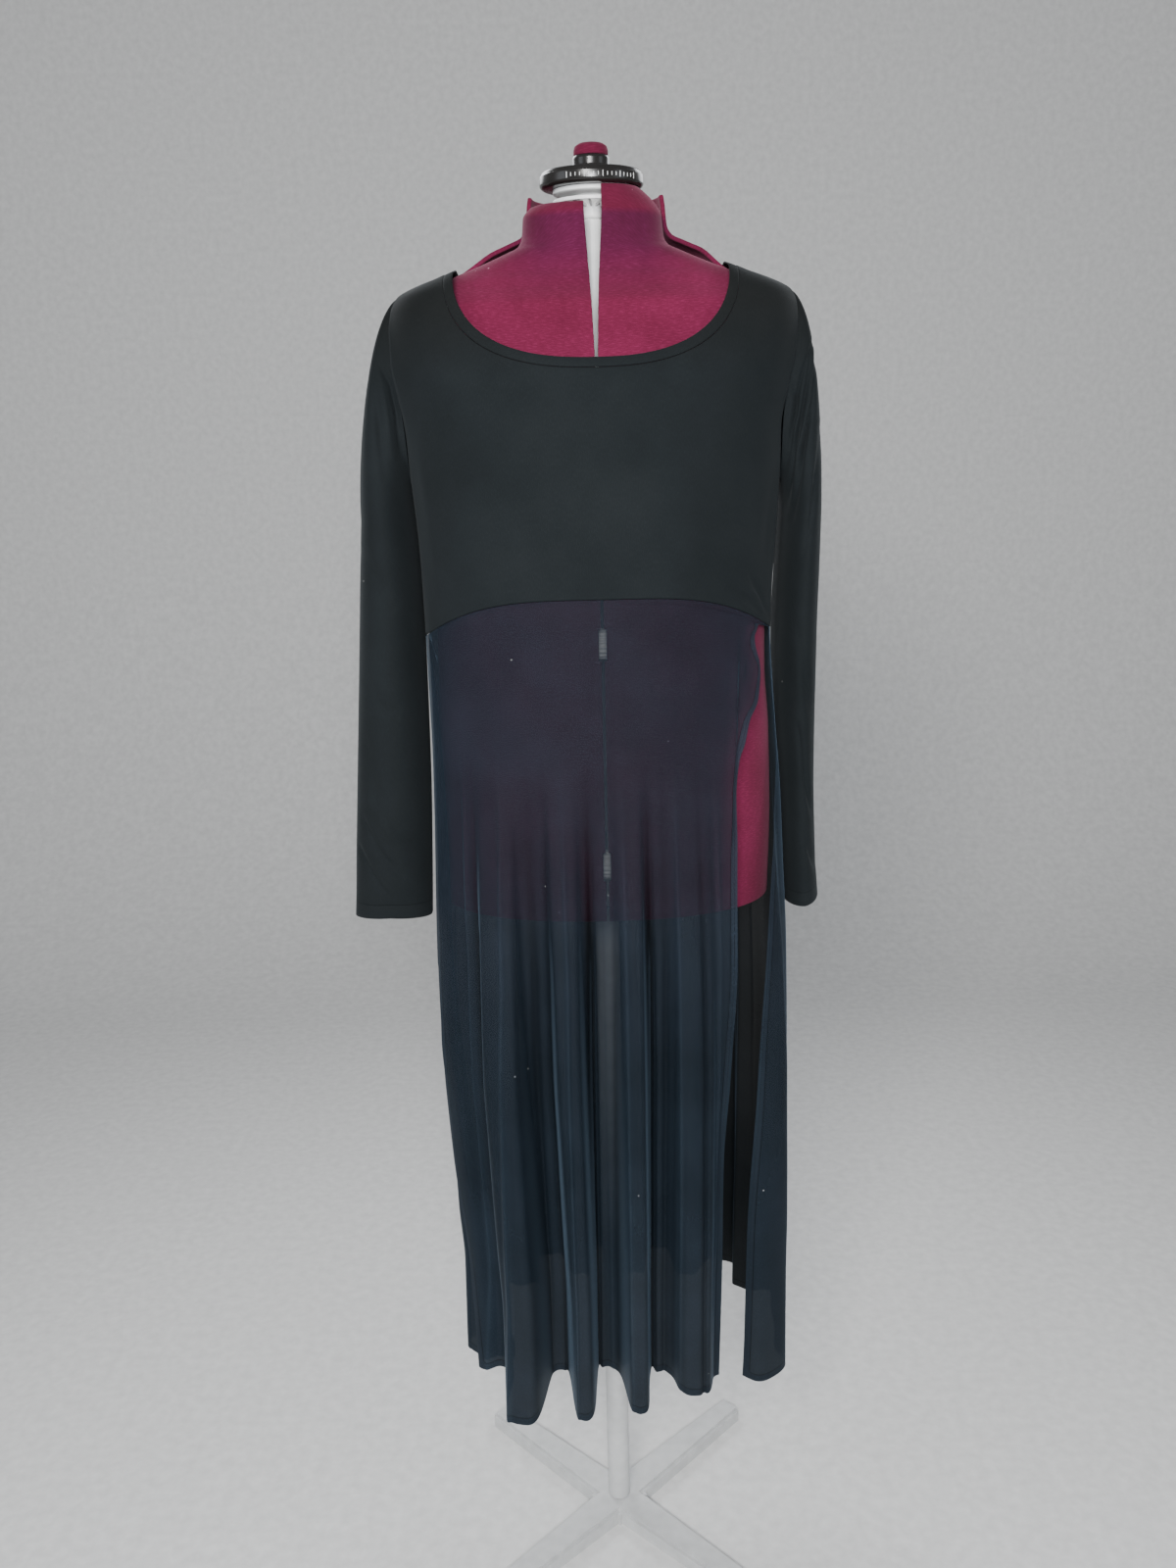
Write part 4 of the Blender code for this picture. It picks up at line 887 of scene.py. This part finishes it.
def makeSleeve(name, rows, side):
    start = armholeRing(side)
    first = sleeveRing(rows, rows[0][0], side)
    reach = np.linalg.norm(first - start, axis=-1, keepdims=True)
    outward = np.array([side, 0.0, -sleeve["lean"]]) * reach * sleeve["fullness"]
    downward = np.array([0.0, 0.0, -1.0]) * reach * sleeve["fall"]
    rings = []
    for t in np.arange(sleeve["capRings"]) / sleeve["capRings"]:
        rings.append(
            start * (2 * t**3 - 3 * t**2 + 1) + outward * (t**3 - 2 * t**2 + t)
            + first * (3 * t**2 - 2 * t**3) + downward * (t**3 - t**2)
        )
    for height in np.linspace(rows[0][0], rows[-1][0], sleeve["rings"]):
        rings.append(sleeveRing(rows, height, side))
    points = np.array(rings)
    turn = 2 * np.pi * np.arange(sleeve["around"]) / sleeve["around"]
    cuff = sleeve["leftCuff" if side < 0 else "rightCuff"]
    lift = np.interp(turn / (np.pi / 2), range(5), cuff + cuff[:1])
    points[..., 2] += lift * smoothStep((sleeve["cuffStart"] - points[..., 2]) / sleeve["cuffReach"])
    outward = gridNormals(points, closed=True) * side
    marks = sleeve["leftCreases" if side < 0 else "rightCreases"]
    facing = np.clip(2.0 * np.sin(turn), sleeve["backCreases"], 1.0)
    points = points + outward * (creases(points, marks) * facing)[..., None]
    if side < 0:
        points = points[:, ::-1]
    edge = distanceFromEdge(points, sides=False)
    made = gridMesh(name, [(points, True)], jersey, thickness=sleeve["thickness"], edge=edge)
    addPiece(made, ["sleeve_left" if side < 0 else "sleeve_right"])


# Skirt

skirt = {
    "columnsFront": 420,
    "columnsBack": 440,
    "rows": 150,
    "hemHeight": 0.265,
    "sideDip": 0.01,
    "dipStart": 5.0,
    "dipEnd": 95.0,
    "valleyRise": 0.014,
    "fullFlute": 0.08,
    "rounding": (-3, -1.5, 0, 1.5, 3),
    "fade": 0.008,        # creases start below the seam
    "tuckStart": 14.0,
    "tuckTurn": 10.0,
    "tuckRoom": 0.0012,
    "tuckAtHem": 0.004,
    "creasesFront": [
        ([(0.1385, 1.17), (0.137, 1.1), (0.136, 1.02), (0.132, 0.93)], 0.004, 0.0034),
        ([(0.146, 1.172), (0.1445, 1.11), (0.142, 1.03), (0.138, 0.95)], 0.004, -0.0036),
        ([(0.15, 1.1745), (0.16, 1.174), (0.173, 1.17)], 0.0034, 0.004),
        ([(0.158, 1.168), (0.153, 1.14), (0.15, 1.11)], 0.0028, -0.0026),
        ([(0.1655, 1.166), (0.164, 1.135), (0.16, 1.105)], 0.0026, 0.0024),
        ([(-0.186, 1.166), (-0.181, 1.152), (-0.177, 1.14)], 0.0028, -0.0034),
        ([(-0.181, 1.168), (-0.176, 1.154), (-0.17, 1.146)], 0.0026, 0.0024),
        ([(-0.15, 1.15), (-0.12, 1.08), (-0.1, 0.99)], 0.012, -0.0016),
        ([(-0.08, 1.195), (-0.07, 1.12), (-0.075, 1.04)], 0.012, -0.0012),
        ([(0.085, 1.19), (0.08, 1.11), (0.076, 1.02)], 0.01, -0.0018),
    ],
    "creasesBack": [
        ([(0.13, 1.15), (0.125, 1.08), (0.12, 1.000)], 0.008, -0.0024),
        ([(0.06, 1.17), (0.055, 1.09), (0.06, 1.01)], 0.008, 0.002),
        ([(-0.04, 1.18), (-0.045, 1.09), (-0.04, 1.000)], 0.008, -0.0022),
        ([(-0.12, 1.16), (-0.115, 1.08), (-0.12, 1.000)], 0.008, -0.0024),
    ],
}


def hemHeight(angle):
    near = [np.clip(fluteOut(angle + turn) / skirt["fullFlute"], 0.0, 1.0) for turn in skirt["rounding"]]
    swing = sum(near) / len(near)
    height = skirt["hemHeight"] + skirt["valleyRise"] * (1 - swing)
    beside = (np.abs(angle) > skirt["dipStart"]) & (np.abs(angle) < skirt["dipEnd"])
    dip = np.sin(np.radians(2 * (np.abs(angle) - skirt["dipStart"]))) ** 2
    return height - skirt["sideDip"] * dip * beside


def skirtPlaces(front):
    share = np.linspace(0.0, 1.0, skirt["rows"] + 1)[:, None]
    u = np.linspace(0.0, 1.0, (skirt["columnsFront"] if front else skirt["columnsBack"]) + 1)[None, :]
    height = waist["side"] + (skirt["hemHeight"] - waist["side"]) * share
    first = angleAt(smoothThrough(dress["slitFrontLeft" if front else "slitBackRight"], height), height)
    last = angleAt(smoothThrough(dress["slitFrontRight" if front else "slitBackLeft"], height), height)
    if not front:
        last = last + 360.0
    angle = first + (last - first) * u
    top = waistHeight(angle) - dress["seamGap"] / 2 - dress["seamSpare"]
    return angle, top + (hemHeight(angle) - top) * share


def tuckDepth(angle, height):  # the back panel's left edge runs under the front panel's
    edge = 360.0 + angleAt(smoothThrough(dress["slitFrontLeft"], height), height)
    share = smoothStep((angle - edge + skirt["tuckStart"]) / skirt["tuckTurn"])
    deep = skirt["tuckAtHem"] * smoothThrough(dress["fluteGrowth"], height)
    return (dress["wall"] + skirt["tuckRoom"] + deep) * share


def makeSkirt(front):
    angle, height = skirtPlaces(front)
    points = dressPoint(angle, height)
    if not front:
        points = points + gridNormals(points) * tuckDepth(angle, height)[..., None]
    fade = smoothStep(np.linspace(0.0, 1.0, len(points)) / skirt["fade"])[:, None]
    marks = skirt["creasesFront" if front else "creasesBack"]
    points = points - gridNormals(points) * (creases(points, marks) * fade)[..., None]
    edge = distanceFromEdge(points, sides=True)
    name = "skirtFront" if front else "skirtBack"
    # painted highlight and shade along the folds
    paintedShade = foldPaintedShade(angle, height)[::-1]
    made = gridMesh(name, [(points[::-1], False)], mesh, edge=edge[::-1], paintedShade=paintedShade)
    addPiece(made, ["skirt_front" if front else "skirt_back"])


makeBodice(True)
makeBodice(False)
makeBinding()
makeSleeve("sleeveLeft", sleeve["left"], -1)
makeSleeve("sleeveRight", sleeve["right"], 1)
makeSkirt(True)
makeSkirt(False)
print("cloth made")

# Dress form

form = {
    "sections": [  # height, half width, front, back, half of the gap in the middle
        (0.862, 0.186, 0.118, 0.13, 0.0015), (0.95, 0.188, 0.119, 0.134, 0.0015),
        (1.05, 0.186, 0.12, 0.12, 0.0015), (1.12, 0.181, 0.126, 0.112, 0.0015),
        (1.2, 0.18, 0.14, 0.11, 0.0015), (1.28, 0.184, 0.149, 0.112, 0.0015),
        (1.34, 0.187, 0.144, 0.114, 0.0015), (1.4, 0.19, 0.128, 0.113, 0.0015),
        (1.45, 0.193, 0.11, 0.109, 0.0017), (1.48, 0.194, 0.099, 0.104, 0.0026),
        (1.502, 0.192, 0.091, 0.098, 0.0034), (1.5105, 0.185, 0.0835, 0.092, 0.0039),
        (1.5185, 0.174, 0.0755, 0.083, 0.0043), (1.5286, 0.157, 0.0685, 0.075, 0.0048),
        (1.5362, 0.141, 0.063, 0.071, 0.0054), (1.542, 0.125, 0.062, 0.07, 0.0059),
        (1.549, 0.107, 0.062, 0.07, 0.0063), (1.556, 0.09, 0.062, 0.07, 0.0068),
        (1.561, 0.079, 0.062, 0.071, 0.0072), (1.569, 0.074, 0.0615, 0.071, 0.0078),
        (1.58, 0.0725, 0.0605, 0.071, 0.0085), (1.59, 0.0716, 0.0605, 0.071, 0.0091),
        (1.6, 0.07, 0.059, 0.07, 0.01),
    ],
    "domeRight": [  # height, half width, front
        (1.5925, 0.0708, 0.0592), (1.596, 0.069, 0.0574), (1.601, 0.0655, 0.0545), (1.607, 0.06, 0.051),
        (1.6125, 0.054, 0.0475), (1.6168, 0.0485, 0.0445),
    ],
    "domeLeft": [
        (1.5925, 0.0704, 0.0588), (1.5955, 0.068, 0.0565), (1.5985, 0.0645, 0.0535), (1.6, 0.061, 0.0505),
    ],
    "splitGap": 0.004,
    "arc": 40,
    "rows": 84,
    "neckRows": 46,
    "shoulder": 1.5,
    "shell": 0.0045,
    "edge": 0.0012,
    "topFront": 1.59,
    "topBack": 1.6,
    "rise": 0.012,
    "shift": 0.004,
    "riseStart": 1.5335,
    "riseEnd": 1.549,
    "wheels": (1.165, 0.923),
    "wheelRoom": 0.017,
    "wheelStep": 0.0006,
    "wheelGap": 0.0043,
}


def formArc(half, depth, gap, side, facing):  # quarter of a section from the middle gap to the side gap
    power = dress["roundness"] / 2
    first = np.arcsin(min((gap / half) ** power, 1.0))
    last = np.arccos(min((form["splitGap"] / depth) ** power, 1.0))
    turn = np.linspace(first, last, form["arc"] + 1)
    return side * half * np.sin(turn) ** (1 / power), facing * depth * np.cos(turn) ** (1 / power)


def makeQuarter(name, node, side, facing):
    front = facing < 0
    rows = form["sections"]
    top = form["topFront"] if front else form["topBack"]
    heights = list(np.linspace(rows[0][0], form["shoulder"], form["rows"]))
    heights += list(np.linspace(form["shoulder"] + 0.002, top, form["neckRows"]))
    if front:
        for middle in form["wheels"]:
            for away in (form["wheelRoom"], form["wheelRoom"] + form["wheelStep"]):
                heights += [middle - away, middle + away]
    rings = []
    for height in sorted(heights):
        gap = float(column(rows, 4, height))
        if front and min(abs(height - middle) for middle in form["wheels"]) <= form["wheelRoom"]:
            gap = form["wheelGap"]
        half, depth = float(column(rows, 1, height)), float(column(rows, 2 if front else 3, height))
        rings.append((height, half, depth, gap))
    if front:
        gap = rings[-1][3]
        rings += [(*row, gap) for row in form["domeRight" if side > 0 else "domeLeft"]]
    points = []
    for height, half, depth, gap in rings:
        x, y = formArc(half, depth, gap, side, facing)
        rise = 0.0  # the back quarters stand a little higher at the neck
        if not front:
            rise = float(smoothStep((height - form["riseStart"]) / (form["riseEnd"] - form["riseStart"])))
        raised = np.full_like(x, height + form["rise"] * rise)
        points.append(np.stack([x + form["shift"] * rise, y, raised], -1))
    points = np.array(points)
    if side * facing > 0:
        points = points[:, ::-1]
    made = gridMesh(name, [(points, False)], felt, thickness=form["shell"], offset=-1.0, bevel=form["edge"])
    addPiece(made, [node])


def makeLathe(name, node, material, profiles, extra=()):
    grids = [latheGrid(profile) for profile in profiles] + list(extra)
    made = gridMesh(name, grids, material)
    addPiece(made, [node])


neck = {  # outlines are (radius, height)
    "hubParts": [
        ([(0.0005, 1.6118), (0.037, 1.6118), (0.04, 1.613), (0.04, 1.617), (0.0005, 1.617)], 0.0008),
        ([(0.0368, 1.603), (0.04, 1.603), (0.04, 1.6068), (0.0368, 1.6068), (0.0368, 1.603)], 0.0008),
        ([(0.0005, 1.5885), (0.0105, 1.5885), (0.0108, 1.599), (0.0135, 1.605), (0.02, 1.6122),
          (0.0005, 1.6123)], 0.003),
    ],
    "spokes": 14,
    "spokeTurn": 0.3,
    "spoke": [(0.0115, 1.6015), (0.022, 1.6035), (0.0375, 1.605)],
    "spokeRadius": 0.0013,
    "ring": [(0.0005, 1.6172), (0.05, 1.6172), (0.0535, 1.6198), (0.0535, 1.629), (0.0522, 1.63),
             (0.052, 1.6312), (0.05, 1.6338), (0.047, 1.6326), (0.023, 1.633), (0.0005, 1.633)],
    "collar": [(0.0005, 1.6333), (0.0195, 1.6333), (0.0195, 1.6385), (0.0187, 1.6395), (0.019, 1.6468),
               (0.0178, 1.6488), (0.0165, 1.649), (0.0005, 1.649)],
    "cap": [(0.0005, 1.6492), (0.0176, 1.6492), (0.0178, 1.6535), (0.0166, 1.658), (0.0125, 1.6608),
            (0.006, 1.6618), (0.0005, 1.662)],
    "tickPlace": (0.0535, 1.6245),
    "tickTurns": [5.0 * k - 78.0 for k in range(-8, 9)],  # degrees
    "tickLong": 0.0026,
    "tickShort": 0.0015,
    "tickRadius": 0.00035,
}


def makeNeck():
    spokes = []
    for k in range(neck["spokes"]):
        turn = 2 * math.pi * (k + neck["spokeTurn"]) / neck["spokes"]
        out = np.array([math.cos(turn), math.sin(turn), 0.0])
        path = [out * radius + (0, 0, height) for radius, height in neck["spoke"]]
        spokes.append(tubeGrid(path, neck["spokeRadius"], flat=1.3))
    hub = [roundedSteps(profile, edge) for profile, edge in neck["hubParts"]]
    makeLathe("neckHub", "neck_hub", whitePlastic, hub, spokes)
    makeLathe("neckRing", "neck_ring", blackGloss, [roundedSteps(neck["ring"], 0.0018)])
    makeLathe("knobCollar", "knob_collar", blackGloss, [roundedSteps(neck["collar"], 0.0014)])
    makeLathe("knobCap", "knob_cap", felt, [roundedSteps(neck["cap"], 0.0012)])
    ticks = []
    radius, height = neck["tickPlace"]
    for k, degrees in enumerate(neck["tickTurns"]):
        turn = math.radians(degrees)
        tall = neck["tickLong"] if k % 4 == 0 else neck["tickShort"]
        out = np.array([math.cos(turn), math.sin(turn), 0.0]) * radius
        path = [out + (0, 0, height - tall), out + (0, 0, height), out + (0, 0, height + tall)]
        ticks.append(tubeGrid(path, neck["tickRadius"], sides=6, flatTowards=(1.0, 0.0, 0.0)))
    addPiece(gridMesh("ringTicks", ticks, whitePlastic))


wheel = {"radius": 0.016, "width": 0.008, "teeth": 18, "notch": 0.0016, "proud": 0.0015, "steps": 180}


def makeWheel(name, node, height):  # its axis is along X and its rim faces the front
    depth = float(column(form["sections"], 2, height))
    middle = -(depth - wheel["radius"] + wheel["proud"])
    turn = 2 * np.pi * np.arange(wheel["steps"]) / wheel["steps"]
    tooth = smoothStep(0.5 + 1.4 * np.sin(wheel["teeth"] * turn))
    rim = wheel["radius"] - wheel["notch"] * (1 - tooth)
    half = wheel["width"] / 2
    rings = []
    for place, share in ((-1, 0.02), (-1, 0.9), (-0.9, 1.0), (0.9, 1.0), (1, 0.9), (1, 0.02)):
        y, z = middle + share * rim * np.cos(turn), height + share * rim * np.sin(turn)
        rings.append(np.stack([np.full_like(turn, half * place), y, z], -1))
    addPiece(gridMesh(name, [(np.array(rings), True)], whitePlastic), [node])


makeQuarter("formFrontLeft", "form_front_left", -1, -1)
makeQuarter("formFrontRight", "form_front_right", 1, -1)
makeQuarter("formBackLeft", "form_back_left", -1, 1)
makeQuarter("formBackRight", "form_back_right", 1, 1)
makeNeck()
makeWheel("settingWheelUpper", "setting_wheel_upper", form["wheels"][0])
makeWheel("settingWheelLower", "setting_wheel_lower", form["wheels"][1])
print("form made")

nodeMaterials = {
    "post": whitePlastic, "front_bar_upper": whitePlastic, "front_bar_lower": whitePlastic,
    "back_bar_upper": whitePlastic, "back_bar_lower": whitePlastic, "pole": paleMetal, "base": paleMetal,
}
for nodeName, look in nodeMaterials.items():
    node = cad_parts[nodeName]
    node.data.materials.clear()
    node.data.materials.append(look)

# Camera, floor and light

view = {"place": (-0.0185, -1.52, 1.379), "down": 14.5, "roll": -1.4, "lens": 31.5}

cameraData = bpy.data.cameras.new("camera")
cameraData.sensor_fit = "VERTICAL"
cameraData.sensor_height = 36.0
cameraData.lens = view["lens"]
camera = bpy.data.objects.new("camera", cameraData)
camera.matrix_world = (
    Matrix.Translation(view["place"])
    @ Matrix.Rotation(math.radians(90.0 - view["down"]), 4, "X")
    @ Matrix.Rotation(math.radians(view["roll"]), 4, "Z")
)
bpy.context.scene.collection.objects.link(camera)
bpy.context.scene.camera = camera

floorMaterial = plainMaterial("floor", (0.74, 0.74, 0.73), 0.9)
stage = {"half": 6.0, "back": 2.6, "height": 4.0, "bend": 1.0, "steps": 16}


def makeStage():
    profile = [(-stage["half"], 0.0)]
    for i in range(stage["steps"] + 1):
        turn = math.pi / 2 * i / stage["steps"]
        y = stage["back"] - stage["bend"] + stage["bend"] * math.sin(turn)
        profile.append((y, stage["bend"] * (1 - math.cos(turn))))
    profile.append((stage["back"], stage["height"]))
    points = np.array([[(x, y, z) for x in (-stage["half"], stage["half"])] for y, z in profile])
    made = gridMesh("floor", [(points, False)], floorMaterial)


makeStage()

world = bpy.data.worlds.new("studio")
bpy.context.scene.world = world
world.use_nodes = True
world.node_tree.nodes["Background"].inputs["Color"].default_value = (0.93, 0.95, 1.0, 1)
world.node_tree.nodes["Background"].inputs["Strength"].default_value = 0.27


def areaLight(name, place, aim, size, power, colour=(1, 1, 1), spread=180.0):
    data = bpy.data.lights.new(name, "AREA")
    data.shape = "DISK"
    data.size = size
    data.energy = power
    data.color = colour
    data.spread = math.radians(spread)
    lamp = bpy.data.objects.new(name, data)
    lamp.location = place
    lamp.rotation_euler = (Vector(aim) - Vector(place)).to_track_quat("-Z", "Y").to_euler()
    bpy.context.scene.collection.objects.link(lamp)


areaLight("keyFront", (-0.5, -2.3, 2.2), (0, 0, 1.25), 0.6, 46, (1.0, 0.98, 0.95))
areaLight("nearCamera", (-0.02, -2.2, 1.7), (0, 0, 1.35), 0.45, 54, (0.97, 0.98, 1.0))
areaLight("fillLeft", (-2.8, -1.2, 1.9), (0, 0, 1.0), 1.6, 13, (0.86, 0.92, 1.0))
areaLight("fillRight", (2.8, -1.4, 1.7), (0, 0, 1.0), 1.6, 11, (0.86, 0.92, 1.0))
areaLight("backLeft", (-1.3, 2.0, 2.5), (0, 0, 0.9), 1.4, 9, (0.95, 0.97, 1.0), 75.0)
areaLight("backRight", (1.5, 2.0, 2.3), (0, 0, 0.9), 1.4, 6, (0.95, 0.97, 1.0), 75.0)
print("stage made")
